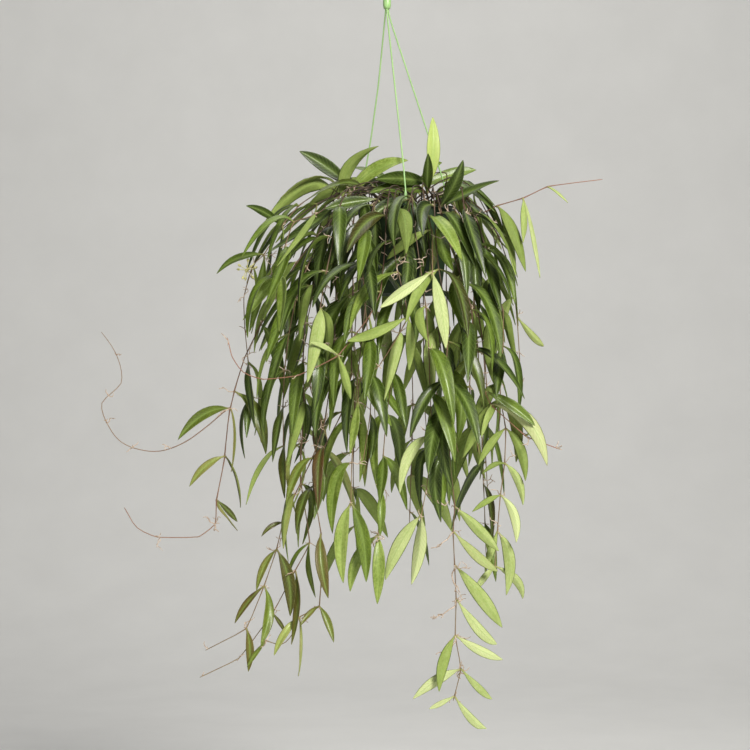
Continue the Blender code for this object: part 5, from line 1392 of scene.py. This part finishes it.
def settle(stem, span_index, face, leaf, room):
    """Keep the leaf if it is sound and a slightly larger copy of it is clear of everything."""
    verts, faces = leaf_solid(leaf, LEAF_ROOM)
    if not room.clear(verts, faces) or crosses_itself(stem, span_index, face, leaf):
        return False
    room.add(verts, faces)
    stem.leaves.append((span_index, face, leaf))
    return True


# %% Laying the stems
def place_stems(routes, holes, room):
    """Lay the stems one after another, moving a stem a little until it is clear of the others.

    The crown's leaves are placed along with its stems, and the other stems then climb between them.
    """
    stems = [None] * len(routes)
    crossed = 0
    missed = 0
    for number in sorted(range(len(routes)), key=lambda i: (routes[i].name not in LAID_FIRST, i)):
        route = routes[number]
        hole = holes[number]
        for attempt in range(STEM_TRIES):
            rng = random.Random("stem-%d-%d-%d" % (SEED, number, attempt))
            growth = math.sqrt(attempt)
            shift = wander(rng, CREST_SHIFT * growth)
            nudges = [wander(rng, NUDGE * growth) for _ in route.via]
            stem = make_stem(route, hole, shift, nudges)
            if room.clear(*stem.solid(STEM_ROOM)):
                break
        else:
            crossed += 1
        room.add(*stem.solid(STEM_SKIN))
        stems[number] = stem
        if route.name in CROWN:
            missed += grow_aimed(number, stem, route, room)
    print("stems", len(stems), "crossed", crossed, "crown leaves without room", missed)
    return stems


# %% The bud cluster's place, which leaves keep clear of
KNOB_RADIUS = 0.0028


def umbel_layout(stem):
    """Where the cluster hangs: its start, its axis, its knob, and the rings of the knob's surface."""
    start = stem.points[-1] + stem.tangents[-1] * (BUD + GAP)
    axis = stem.tangents[-1]
    knob = start + axis * 0.0140
    side = axis.orthogonal().normalized()
    other = axis.cross(side)
    rows = [(start + axis * 0.0012, 0.0008), (start + axis * 0.0120, 0.0008)]
    for k in range(4):
        turn = math.pi * (k + 0.7) / 4.4
        rows.append((knob - axis * KNOB_RADIUS * math.cos(turn), KNOB_RADIUS * math.sin(turn)))
    verts = []
    for place, radius in rows:
        verts.extend(ring_round(place, side, other, radius, UMBEL_SIDES))
    return start, axis, knob, verts


def umbel_rays(verts, knob):
    """The patches of the knob that carry a bud: their corners, their middle and the stalk's direction."""
    rng = random.Random(SEED + 5)
    rays = []
    for row in range(2, 5):
        for k, quad in enumerate(sleeve(row * UMBEL_SIDES, (row + 1) * UMBEL_SIDES, UMBEL_SIDES)):
            if (row + k) % 2:
                continue
            middle = sum((verts[v] for v in quad), Vector()) / 4
            reach = ((middle - knob).normalized() + wander(rng, 0.12)).normalized()
            rays.append((quad, middle, reach))
    return rays


def draw_bud(quad, middle, reach, verts):
    """The faces of a short stalk and its bud, drawn out of one patch of the knob."""
    faces = []
    before = quad
    for distance, half in ((0.0080, 0.0005), (0.0100, 0.0016), (0.0125, 0.0017)):
        now = []
        for v in quad:
            arm = verts[v] - middle
            arm = (arm - arm.dot(reach) * reach).normalized()
            now.append(len(verts))
            verts.append(middle + reach * distance + arm * half)
        for c in range(4):
            d = (c + 1) % 4
            faces.append([before[c], before[d], now[d], now[c]])
        before = now
    verts.append(middle + reach * 0.0142)
    return faces + cone(before, len(verts) - 1)


def umbel_mesh(stem):
    """Buds on short stalks drawn out of a small knob, just beyond the end of its stem."""
    start, axis, knob, verts = umbel_layout(stem)
    rays = umbel_rays(verts, knob)
    budded = [quad for quad, _, _ in rays]
    faces = []
    for row in range(5):
        ring = sleeve(row * UMBEL_SIDES, (row + 1) * UMBEL_SIDES, UMBEL_SIDES)
        faces.extend([quad for quad in ring if quad not in budded])
    verts.append(start)
    faces.extend([face[::-1] for face in cone(list(range(UMBEL_SIDES)), len(verts) - 1)])
    verts.append(knob + axis * 0.0032)
    faces.extend(cone(list(range(5 * UMBEL_SIDES, 6 * UMBEL_SIDES)), len(verts) - 1))
    for quad, middle, reach in rays:
        faces.extend(draw_bud(quad, middle, reach, verts))
    return verts, faces


# %% What the viewer has to see freely
def clear_view():
    """A slim upright sheet before the foot of the front strand, where nothing hangs across it."""
    foot = -STRAND_RING_RADIUS
    near = foot - 0.090
    corners = [(foot, 0.016), (near, 0.022), (near, 0.110), (foot, 0.110)]
    verts = []
    for x in (POT_X - 0.0016, POT_X + 0.0016):
        for y, height in corners:
            verts.append(Vector((x - 0.06 * (height - 0.016), y, RIM_Z + height)))
    return verts, [[3, 2, 1, 0], [4, 5, 6, 7]] + sleeve(0, 4, 4)


def sight_screen(leaf):
    """Walls from a blade toward the viewer, so that no leaf placed by rule hangs before it."""
    verts = []
    faces = []
    for i, share in enumerate((0.10, 0.35, 0.60, 0.85, 1.00)):
        place = leaf_curve(leaf, share)
        across = leaf_frame(leaf, share)[2] * leaf.half * min(1.0, 4.0 - 3.9 * share)
        for side in (-1, 0, 1):
            verts.append(place + side * across - Vector((0.0, 0.004, 0.0)))
            verts.append(place + side * across - Vector((0.0, SIGHT_DEPTH, 0.0)))
        if i:
            now = 6 * i
            faces.extend([[now - 6 + k, now - 5 + k, now + 1 + k, now + k] for k in (0, 2, 4)])
            faces.extend([[now - 5 + k, now - 3 + k, now + 3 + k, now + 1 + k] for k in (0, 2)])
    return verts, faces


def keep_in_sight(stems, room):
    """Screens before the pale leaves, which are plainly seen in front."""
    for stem in stems:
        for span_index, _, leaf in stem.leaves:
            via = stem.spans[span_index].via
            if via is not None and shows_under(stem, via):
                room.add(*sight_screen(leaf))


# %% Grow it
def grow_plant():
    """The whole plant by rule: its routes and holes, the stems, and every leaf that finds room."""
    room = Room()
    for name, bearing in STRANDS:
        points, radii = strand_path(name, bearing)
        room.add(*tube(points, [radius + 0.0006 for radius in radii], 6))
    room.add(*lathe(pot_profile(), POT_SIDES))
    room.add(*clear_view())
    routes = ROUTES + side_routes()
    holes = assign_holes(routes)
    stems = place_stems(routes, holes, room)
    room.add(*lathe(soil_profile(), POT_SIDES))
    umbel_stem = stems[[route.name for route in routes].index("left_crest")]
    room.add(*umbel_mesh(umbel_stem))
    grow_shoots(stems, routes, room)
    numbered = list(enumerate(zip(stems, routes)))
    others = [pair for pair in numbered if pair[1][1].name not in CROWN]
    missed = sum(grow_aimed(i, stem, route, room) for i, (stem, route) in others)
    print("known leaves without room", missed)
    keep_in_sight(stems, room)
    missed = sum(grow_ruled(i, stem, route, room) for i, (stem, route) in numbered)
    print("leaves", sum(len(stem.leaves) for stem in stems), "without room", missed)
    return routes, stems, umbel_stem


routes, stems, umbel_stem = grow_plant()
print("stems", len(stems), "leaves", sum(isinstance(leaf, Leaf) for s in stems for _, _, leaf in s.leaves))

# %% [markdown]
# ## Leaf finish
# The upper side is a deep waxy green, with a painted sheen along the channel; the lower side is a dull pale
# yellow green, with a painted crease shade along its midrib. Leaves deep in the mass and at the left are
# painted darker as shade, and leaves high in the crown are painted lighter as light; young ones at the ends
# of the stems are pale, and the youngest have a red tinge. The finish is one material for all leaves. It
# reads numbers that every blade carries on its points: how far along and across, which side, and the leaf's
# own tone, which holds its age and the painted shade and light. So no leaf needs a picture, and the midrib,
# margin and streaks follow the blade however it bends.

# %% Leaf finish
def leaf_finish():
    made, tree, shader = new_finish("hoya_leaf")
    along_leaf = number(tree, "along")
    across_leaf = number(tree, "across")
    upper = number(tree, "upper")
    tone_and_painted_light = number(tree, "tone_and_painted_light")
    red = number(tree, "red")
    seed = number(tree, "seed")
    place = place_of(tree)
    flow = step(tree, "ShaderNodeCombineXYZ", {0: scaled(tree, along_leaf, 2.2, seed),
                                               1: times(tree, across_leaf, 3.5),
                                               2: times(tree, seed, 7.3)})
    streak = noise(tree, flow, 2.4, 4.0, 0.6)
    cloud = noise(tree, place, 55.0, 3.0)
    mottle = noise(tree, place, 330.0, 2.0, 0.7)
    shade = plus(tree, tone_and_painted_light, scaled(tree, streak, 0.50, -0.25))
    shade = plus(tree, shade, scaled(tree, cloud, 0.26, -0.13))
    shade = plus(tree, shade, scaled(tree, mottle, 0.34, -0.17), clamp=True)
    top = ramp(tree, shade, [(0.0, (0.004, 0.009, 0.001)), (0.35, (0.031, 0.055, 0.002)),
                             (0.65, (0.126, 0.190, 0.015)), (1.0, (0.430, 0.525, 0.145))])
    under = ramp(tree, shade, [(0.0, (0.095, 0.135, 0.018)), (0.5, (0.275, 0.355, 0.085)),
                               (1.0, (0.545, 0.610, 0.290))])
    middle = times(tree, across_leaf, across_leaf)
    rib = sums(tree, "POWER", 2.718, times(tree, middle, -160.0))
    fold = sums(tree, "POWER", 2.718, times(tree, middle, -9.0))
    side = sums(tree, "ABSOLUTE", across_leaf)
    slant = times(tree, side, -13.0)
    vein_line = sums(tree, "SINE", scaled(tree, along_leaf, 88.0, slant))
    vein = between(tree, vein_line, 0.72, 1.0)
    # Painted sheen: a broad lighter band down the middle of the upper side, along the channel
    top = tint(tree, top, fold, 0.30, (0.280, 0.400, 0.090))
    top = tint(tree, top, rib, 0.16, (0.400, 0.500, 0.160))
    top = tint(tree, top, vein, 0.15, (0.300, 0.450, 0.110))
    # Painted crease shade: a dark line along the midrib of the lower side
    under = tint(tree, under, rib, 0.42, (0.190, 0.290, 0.070))
    under = tint(tree, under, vein, 0.26, (0.200, 0.330, 0.080))
    colour = mixed(tree, upper, under, top)
    colour = tint(tree, colour, between(tree, side, 0.86, 1.0), 0.45, (0.040, 0.075, 0.016))
    rosy = times(tree, red, between(tree, streak, 0.25, 0.7, 0.35, 0.9))
    rosy = times(tree, rosy, scaled(tree, fold, -0.7, 1.0))
    colour = mixed(tree, rosy, colour, (0.145, 0.050, 0.022, 1.0))
    foot = between(tree, along_leaf, 0.02, 0.12, 0.65, 0.0)
    colour = mixed(tree, foot, colour, (0.300, 0.260, 0.110, 1.0))
    fleck = between(tree, noise(tree, place, 900.0, 1.0), 0.66, 0.74, 0.0, 0.25)
    colour = tint(tree, colour, fleck, upper, (0.420, 0.520, 0.240))
    dry = between(tree, along_leaf, 0.975, 1.0, 0.0, 0.6)
    colour = mixed(tree, dry, colour, (0.160, 0.110, 0.040, 1.0))
    dull = between(tree, noise(tree, place, 160.0, 3.0), 0.3, 0.7, -0.05, 0.10)
    rough = scaled(tree, upper, -0.26, 0.64)
    rough = plus(tree, rough, times(tree, tone_and_painted_light, 0.08))
    wax = times(tree, upper, scaled(tree, tone_and_painted_light, -0.24, 0.34))
    feed(tree, shader, {"Base Color": colour, "Roughness": plus(tree, rough, dull), "IOR": 1.36,
                        "Coat Weight": wax, "Coat IOR": 1.42, "Coat Roughness": 0.17,
                        "Subsurface Weight": 0.10, "Subsurface Radius": (0.0012, 0.0022, 0.0006)})
    height = plus(tree, times(tree, vein, -0.25), times(tree, streak, 0.5))
    height = plus(tree, height, times(tree, noise(tree, place, 420.0, 3.0), 0.35))
    bump(tree, shader, height, 0.32, 0.0005)
    return made


hoya_leaf = leaf_finish()
print("leaf finish has", len(hoya_leaf.node_tree.nodes), "nodes")


# %% [markdown]
# ## Leaf blades
# A real blade is about two millimetres thick, folded into a shallow channel, narrow at its stalk, widest
# in the middle and drawn out to a point. A flat card with a picture on it would show its edge, so each
# blade is a closed body: eighteen rings of sixteen points along the leaf's curve, with a groove for the
# midrib above, a keel below and rounded edges. Rings are closer at the stalk and the tip, where it bends.

# %% Where the rings and points of a blade lie, and how thick it is
RING_SHARES = (0.0, 0.025, 0.05, 0.075, 0.105, 0.15, 0.21, 0.28, 0.36,
               0.45, 0.54, 0.63, 0.72, 0.80, 0.87, 0.925, 0.965, 0.988)
POINTS_ACROSS = (-1.0, -0.84, -0.55, -0.22, 0.0, 0.22, 0.55, 0.84, 1.0)
STALK_HALF = 0.0011
BLADE_HALF = 0.00082
MIDRIB_GROOVE = 0.00035
MIDRIB_KEEL = 0.00045
RUFFLE = 0.0005


def blade_width(share, half):
    """Half the width at a share of the length: a narrow stalk, then a lance shape."""
    stalk = 0.0013 * (1.0 - 0.3 * share)
    open_share = unit((share - 0.045) / 0.955)
    lance = half * math.sin(math.pi * open_share ** 0.97) ** 0.78 if 0.0 < open_share < 1.0 else 0.0
    return (stalk ** 4 + lance ** 4) ** 0.25 if share < 0.9 else max(lance, 0.0004)


# %% One blade
def blade_points(leaf, wave):
    """Rings of points for a leaf, and the along, across and upper numbers of each point."""
    verts = []
    numbers = []
    last = None
    for share in RING_SHARES:
        place = leaf_curve(leaf, share)
        _, normal, across = leaf_frame(leaf, share)
        if last is not None and normal.dot(last) < 0.0:
            normal = -normal
            across = -across
        last = normal
        half = blade_width(share, leaf.half)
        flat = unit((share - 0.04) / 0.10)
        thick = STALK_HALF * (1.0 - flat) + BLADE_HALF * flat * (1.0 - 0.45 * share)
        for side in (1, 0):
            places = POINTS_ACROSS if side else POINTS_ACROSS[-2:0:-1]
            for v in places:
                lift = LEAF_CHANNEL * half * (1.45 * abs(v) ** 1.05 - 0.30) * flat
                round_off = math.sqrt(max(0.0, 1.0 - v * v))
                ruffle = RUFFLE * wave * math.sin(11.0 * share + 3.0 * v + wave * 9.0) * abs(v) * flat
                if side:
                    groove = MIDRIB_GROOVE * math.exp(-(v / 0.12) ** 2) * flat
                    rise = lift + thick * round_off - groove
                else:
                    keel = MIDRIB_KEEL * math.exp(-(v / 0.14) ** 2) * flat * (1.0 - share)
                    rise = lift - thick * round_off - keel
                verts.append(place + across * (v * half) + normal * (rise + ruffle))
                numbers.append((share, v, 0.5 if abs(v) == 1.0 else float(side)))
    verts.append(leaf.tip)
    numbers.append((1.0, 0.0, 1.0))
    return verts, numbers


def blade_mesh(leaf, wave):
    verts, numbers = blade_points(leaf, wave)
    size = 2 * len(POINTS_ACROSS) - 2
    last = size * (len(RING_SHARES) - 1)
    faces = []
    for low in range(0, last, size):
        faces.extend(sleeve(low, low + size, size))
    faces.extend(cone(list(range(last, last + size)), len(verts) - 1))
    return verts, [list(range(size))] + [face[::-1] for face in faces], numbers


# %% Leaf tone: painted shade in the mass and at the left, painted light atop the crown, pale at stem ends
PALE = {"long_right": 0.86, "right_inner": 0.66, "right_edge": 0.88, "right_whip": 0.84, "pale_front": 0.92,
        "mid_pair": 0.66, "mid_hook": 0.80, "mid_low": 0.62, "right_shoot": 0.62, "low_left": 0.46,
        "low_left_mid": 0.44, "low_mid": 0.52, "left_long": 0.64, "pink_whip": 0.50, "front_mid": 0.50}


def leaf_numbers(route, span_index, total, leaf, rng):
    """Tone, redness and seed of one leaf. The tone has painted shade and painted light in it."""
    share = span_index / max(1, total - 1)
    middle = leaf_curve(leaf, 0.5)
    # Painted shade: leaves near the pot's axis, deep in the mass, are made darker
    inside = 1.0 - unit((math.hypot(middle.x - POT_X, middle.y) - 0.080) / 0.075)
    # Painted light: leaves above the rim, high in the crown, are made lighter
    above = unit((middle.z - RIM_Z) / 0.045)
    # Painted shade: leaves to the left of the pot, away from the main light, are made darker
    leftward = unit((POT_X - middle.x) / 0.12) * (1.0 - share)
    tone_and_painted_light = 0.27 + 0.15 * share - 0.28 * inside * (1.0 - above) + 0.09 * above - 0.08 * leftward
    tone_and_painted_light += rng.gauss(0.0, 0.14)
    if route.name in PALE:
        tone_and_painted_light += (PALE[route.name] - 0.30) * share ** 1.5
    if rng.random() < 0.07:
        tone_and_painted_light += 0.28
    red = 0.0
    if route.name in ("low_left", "low_left_mid", "left_long", "low_mid") and share > 0.5:
        red = max(0.0, rng.gauss(0.45, 0.30))
    elif rng.random() < 0.06:
        red = rng.uniform(0.1, 0.35)
    return unit(tone_and_painted_light), min(0.8, red), rng.uniform(0.0, 40.0)


# %% All blades of a stem in one piece
def blades_of(number, stem, route):
    verts = []
    faces = []
    values = {key: [] for key in ("along", "across", "upper", "tone_and_painted_light", "red", "seed")}
    count = 0
    for span_index, face, leaf in stem.leaves:
        if not isinstance(leaf, Leaf):
            continue
        rng = random.Random("look-%d-%d-%d" % (number, span_index, face))
        tone_and_painted_light, red, seed = leaf_numbers(route, span_index, len(stem.spans), leaf, rng)
        points, sides, numbers = blade_mesh(leaf, rng.uniform(-1.0, 1.0))
        join(verts, faces, points, sides)
        for row in numbers:
            for key, value in zip(values, (*row, tone_and_painted_light, red, seed)):
                values[key].append(value)
        count += 1
    return verts, faces, values, count


blade_count = 0
blade_faces_total = 0
blade_pieces = {}
for index, (stem, route) in enumerate(zip(stems, routes)):
    verts, faces, values, count = blades_of(index, stem, route)
    if not count:
        continue
    piece = make_piece("leaves_%02d" % index, verts, faces, hoya_leaf, values)
    dress(piece, "trail_%02d" % index, slot="foliage")
    blade_pieces[index] = piece
    blade_count += count
    blade_faces_total += len(faces)
print("blades", blade_count, "faces", blade_faces_total)

# %% [markdown]
# ## Stems
# A stem is a thin wiry vine, reddish brown where it is old and greener or pink at its growing end, with a
# swollen knuckle at every node. Towards its old end by the crest, where it lies among the leaves, its colour
# is painted darker still, as shade. A finely sampled tube follows the measured stem, a little slimmer than
# the three-sided solid, and swells where the leaves join. Its finish reads how old each point is, and the
# painted shade follows that number.

# %% Stem finish
def stem_finish():
    made, tree, shader = new_finish("hoya_stem")
    age_and_painted_shade = number(tree, "age_and_painted_shade")
    pink = number(tree, "pink")
    knuckle = number(tree, "knuckle")
    place = place_of(tree)
    grain = noise(tree, place, 260.0, 4.0, 0.65)
    cloud = noise(tree, place, 40.0, 2.0)
    shade = plus(tree, age_and_painted_shade, scaled(tree, cloud, 0.7, -0.35), clamp=True)
    # Painted shade: the stops for the old end by the crest run to near black, for the shade among the leaves
    colour = ramp(tree, shade, [(0.0, (0.265, 0.190, 0.080)), (0.35, (0.150, 0.090, 0.044)),
                                (0.7, (0.050, 0.030, 0.017)), (1.0, (0.028, 0.023, 0.011))])
    colour = tint(tree, colour, pink, 0.85, (0.330, 0.115, 0.070))
    colour = mixed(tree, between(tree, grain, 0.40, 0.75, 0.0, 0.35), colour, (0.200, 0.130, 0.080, 1.0))
    colour = tint(tree, colour, knuckle, 0.30, (0.260, 0.165, 0.100))
    feed(tree, shader, {"Base Color": colour, "Roughness": between(tree, grain, 0.3, 0.7, 0.45, 0.7)})
    bump(tree, shader, grain, 0.5, 0.0004)
    return made


hoya_stem = stem_finish()


# %% Smooth tube through a stem's rings, swollen at the nodes
KNUCKLE_REACH = 0.004


def fine_stem(stem):
    """Points and radii along the stem, and how far into a knuckle each point is."""
    samples, _ = catmull(stem.points, 3)
    leafy = {stem.spans[index].ring for index, _, _ in stem.leaves}
    nodes = [stem.middle(ring) for ring in sorted(leafy)]
    radii = []
    swell = []
    for i, place in enumerate(samples):
        ring = i / 3
        low = min(len(stem.radii) - 1, int(ring))
        high = min(len(stem.radii) - 1, low + 1)
        base = part_way(stem.radii[low], stem.radii[high], ring - low)
        near = min([(place - node).length for node in nodes], default=1.0)
        bulge = max(0.0, 1.0 - near / KNUCKLE_REACH)
        radii.append(base * (0.60 + 0.52 * bulge))
        swell.append(bulge)
    samples.append(stem.points[-1] + stem.tangents[-1] * 0.0036)
    radii.append(0.0003)
    swell.append(0.0)
    return samples, radii, swell


# %% Stem pieces
def tube_numbers(values, sides):
    """One value for each point of a tube's rings."""
    return [value for value in values for _ in range(sides)]


STEM_POINTS = 8
PINK = {"pink_whip": 1.0, "right_shoot": 1.0, "right_whip": 0.8, "left_long": 0.7}


def stem_piece(number, stem, route):
    """A stem with its bare shoots, if it has any."""
    places, radii, swell = fine_stem(stem)
    verts, faces = tube(places, radii, STEM_POINTS)
    total = len(places) - 1
    ages_and_painted_shade = [1.0 - 0.95 * (i / total) ** 1.2 for i in range(len(places))]
    pinks = [PINK.get(route.name, 0.0) * (i / total) ** 2 for i in range(len(places))]
    values = {"age_and_painted_shade": ages_and_painted_shade, "pink": pinks, "knuckle": swell}
    values = {key: tube_numbers(row, STEM_POINTS) for key, row in values.items()}
    for span_index, _, shoot in stem.leaves:
        if isinstance(shoot, Leaf):
            continue
        base = stem.middle(stem.spans[span_index].ring)
        run, _ = catmull([base] + shoot, 2)
        slim = [SHOOT_RADIUS * (0.62 - 0.26 * i / len(run)) for i in range(len(run))]
        join(verts, faces, *tube(run, slim, STEM_POINTS))
        shades = [0.35 * (1.0 - i / len(run)) for i in range(len(run))]
        values["age_and_painted_shade"].extend(tube_numbers(shades, STEM_POINTS))
        values["pink"].extend([0.25] * len(run) * STEM_POINTS)
        values["knuckle"].extend([0.0] * len(run) * STEM_POINTS)
    return make_piece("stem_%02d" % number, verts, faces, hoya_stem, values)


for index, (stem, route) in enumerate(zip(stems, routes)):
    piece = stem_piece(index, stem, route)
    dress(piece, "trail_%02d" % index, slot="foliage")
print("stem pieces", len(stems))

# %% [markdown]
# ## Roots
# At most nodes small pale roots come out of the stem, two or three together and only a few millimetres
# long, some forked and crooked, and a few near the lower right as long as a finger. They are too thin for
# the measured model, so they are added here as crooked tubes that turn at random at every step. High in
# the crown leaves hide them, so few grow there.

# %% Root finish
def root_finish():
    made, tree, shader = new_finish("aerial_root")
    place = place_of(tree)
    grain = noise(tree, place, 380.0, 3.0)
    colour = ramp(tree, grain, [(0.3, (0.340, 0.230, 0.155)), (0.5, (0.530, 0.405, 0.305)),
                                (0.7, (0.710, 0.610, 0.505))])
    feed(tree, shader, {"Base Color": colour, "Roughness": 0.72})
    bump(tree, shader, grain, 0.4, 0.0003)
    return made


aerial_root = root_finish()


# %% One crooked root
ROOT_SIDES = 6
ROOT_TURN = 0.52
LONG_ROOT = 0.034
LONG_ROOT_TURN = 0.36


def in_box(place, margin):
    """True inside the measured model's box, less a margin."""
    return all(cad_box[0][i] + margin < place[i] < cad_box[1][i] - margin for i in range(3))


def root_run(rng, start, toward, length):
    """Points of a root that turns a little at every step, a long one less."""
    places = [start]
    turn = ROOT_TURN if length < LONG_ROOT else LONG_ROOT_TURN
    heading = toward.normalized()
    done = 0.0
    while done < length:
        stride = rng.uniform(0.0028, 0.0048)
        heading = (heading + wander(rng, turn)).normalized()
        place = places[-1] + heading * stride
        if len(places) > 2 and not in_box(place, 0.001):
            break
        places.append(place)
        done += stride
    return places


def root_tube(places, thick, verts, faces):
    """A round body that narrows a little towards the root's blunt end."""
    run = catmull(places, 3)[0] if len(places) > 2 else places
    widths = [thick * (1.0 - 0.4 * i / len(run)) for i in range(len(run) - 1)] + [thick * 0.25]
    join(verts, faces, *tube(run, widths, ROOT_SIDES))


def add_root(rng, start, toward, length, thick, verts, faces):
    """A root, and on a long one a side root or two."""
    places = root_run(rng, start, toward, length)
    root_tube(places, thick, verts, faces)
    if length > 0.012:
        for _ in range(1 + (length > 0.02)):
            spot = rng.randrange(2, len(places) - 1) if len(places) > 4 else 1
            aside = (places[spot] - places[spot - 1]).normalized() + wander(rng, 0.8)
            fork = root_run(rng, places[spot], aside, length * rng.uniform(0.3, 0.5))
            root_tube(fork, thick * 0.85, verts, faces)


# %% Roots of every stem
LONG_ROOTS = {("long_right", 5): 0.052, ("long_right", 6): 0.046, ("long_right", 7): 0.040,
              ("long_right", 4): 0.030, ("long_right", 8): 0.024, ("mid_hook", 3): 0.030,
              ("left_long", 3): 0.018, ("left_long", 7): 0.018, ("mid_low", 3): 0.026}
CROWN_FOOT = -0.335
SHOOT_ROOT_SHARES = (0.22, 0.40, 0.56, 0.68, 0.85)


def node_roots(rng, place, most, verts, faces):
    """Two or three short roots on different sides of a node, now and then a longer one."""
    turn = rng.uniform(0.0, 2.0 * math.pi)
    for _ in range(rng.choice((2, 2, 2, 3))):
        toward = Vector((math.cos(turn), 0.6 * math.sin(turn), rng.uniform(-0.5, 0.8)))
        length = rng.uniform(0.006, 0.011) if rng.random() < 0.66 else rng.uniform(0.012, most)
        add_root(rng, place, toward, length, rng.uniform(0.00058, 0.00078), verts, faces)
        turn += rng.uniform(2.0, 4.2)


def roots_of(number, stem, route):
    verts = []
    faces = []
    for index, span in enumerate(stem.spans):
        rng = random.Random("root-%d-%d" % (number, index))
        place = stem.middle(span.ring)
        wanted = LONG_ROOTS.get((route.name, span.via))
        if wanted:
            toward = Vector((-0.75, -0.2, -0.8)) + wander(rng, 0.25)
            add_root(rng, place, toward, wanted, 0.00096, verts, faces)
            add_root(rng, place, Vector((1.0, -0.3, -0.4)), wanted * 0.5, 0.00062, verts, faces)
        if rng.random() < (0.94 if place.z > CROWN_FOOT else 0.30):
            continue
        node_roots(rng, place, 0.026, verts, faces)
    if route.name in ("low_left", "low_left_mid", "right_shoot", "pink_whip"):
        node_roots(random.Random("end-%d" % number), stem.points[-1], 0.012, verts, faces)
    for shoot in [shoot for _, _, shoot in stem.leaves if not isinstance(shoot, Leaf)]:
        run, _ = catmull(shoot, 4)
        for index, share in enumerate(SHOOT_ROOT_SHARES):
            node_roots(random.Random("shoot-%d-%d" % (number, index)), run[int(share * (len(run) - 1))],
                       0.014, verts, faces)
    return verts, faces


root_total = 0
for index, (stem, route) in enumerate(zip(stems, routes)):
    verts, faces = roots_of(index, stem, route)
    if verts:
        dress(make_piece("roots_%02d" % index, verts, faces, aerial_root), slot="foliage")
        root_total += len(faces)
print("root faces", root_total)

# %% [markdown]
# ## The bud cluster
# At the far left a small umbel of cream buds hangs from a stem's end. Each bud sits on a thin stalk and
# has five blunt lobes, cream with a little yellow green. Stalks spread from one knob, as in the solid.

# %% Bud finish
def bud_finish():
    made, tree, shader = new_finish("hoya_bud")
    place = place_of(tree)
    cloud = noise(tree, place, 300.0, 3.0)
    colour = ramp(tree, cloud, [(0.3, (0.430, 0.410, 0.130)), (0.6, (0.640, 0.610, 0.290)),
                                (0.8, (0.760, 0.730, 0.470))])
    feed(tree, shader, {"Base Color": colour, "Roughness": 0.45,
                        "Subsurface Weight": 0.2, "Subsurface Radius": (0.001, 0.001, 0.0006)})
    return made


hoya_bud = bud_finish()


# %% Buds on their stalks
BUD_POINTS = 15
LOBES = 5.0
KNOB_FINE_SIDES = 12


def bud(middle, reach, verts, faces):
    """A stalk and a lobed bud that stand out from a middle, in the direction of reach."""
    side = reach.orthogonal().normalized()
    other = reach.cross(side)
    rows = [(0.0, 0.0006, 0.0), (0.004, 0.0004, 0.0), (0.0085, 0.0005, 0.0), (0.0096, 0.0012, 0.10),
            (0.0110, 0.0019, 0.22), (0.0124, 0.0017, 0.30), (0.0136, 0.0009, 0.30), (0.0142, 0.0002, 0.0)]
    first = len(verts)
    for distance, radius, lobe in rows:
        for k in range(BUD_POINTS):
            turn = 2.0 * math.pi * k / BUD_POINTS
            reach_out = radius * (1.0 - lobe * (0.5 - 0.5 * math.cos(LOBES * turn)))
            around = math.cos(turn) * side + math.sin(turn) * other
            verts.append(middle + reach * distance + reach_out * around)
    faces.append([first + k for k in reversed(range(BUD_POINTS))])
    for low in range(first, len(verts) - BUD_POINTS, BUD_POINTS):
        faces.extend(sleeve(low, low + BUD_POINTS, BUD_POINTS))
    faces.append(list(range(len(verts) - BUD_POINTS, len(verts))))


def fine_umbel(stem):
    start, axis, knob, layout = umbel_layout(stem)
    run = [start, start + axis * 0.004, start + axis * 0.009, knob - axis * 0.002, knob + axis * 0.0015,
           knob + axis * 0.003]
    verts, faces = tube(run, [0.0007, 0.0007, 0.0008, 0.0018, 0.0024, 0.0009], KNOB_FINE_SIDES)
    for _, middle, reach in umbel_rays(layout, knob):
        bud(middle - reach * 0.0006, reach, verts, faces)
    return verts, faces


umbel = make_piece("bud_cluster", *fine_umbel(umbel_stem), hoya_bud)
dress(umbel, "flower_umbel", slot="flower")
print("bud cluster", len(umbel.data.polygons), "faces")

# %% [markdown]
# ## Last measurements
# The dressed plant has to keep the size of the measured model, and each stem's leaves have to lie where
# their solid is. The leaves are measured here against their solids' boxes.

# %% Compare the leaves with their solids
worst = 0.0
for index, piece in blade_pieces.items():
    low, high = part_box("trail_%02d" % index)
    places = np.array([tuple(v.co) for v in piece.data.vertices])
    over = max(float(np.max(np.array(low) - places.min(0))), float(np.max(places.max(0) - np.array(high))))
    worst = max(worst, over)
print("furthest that a leaf stands out of its solid's box:", round(worst * 1000.0, 2), "mm")
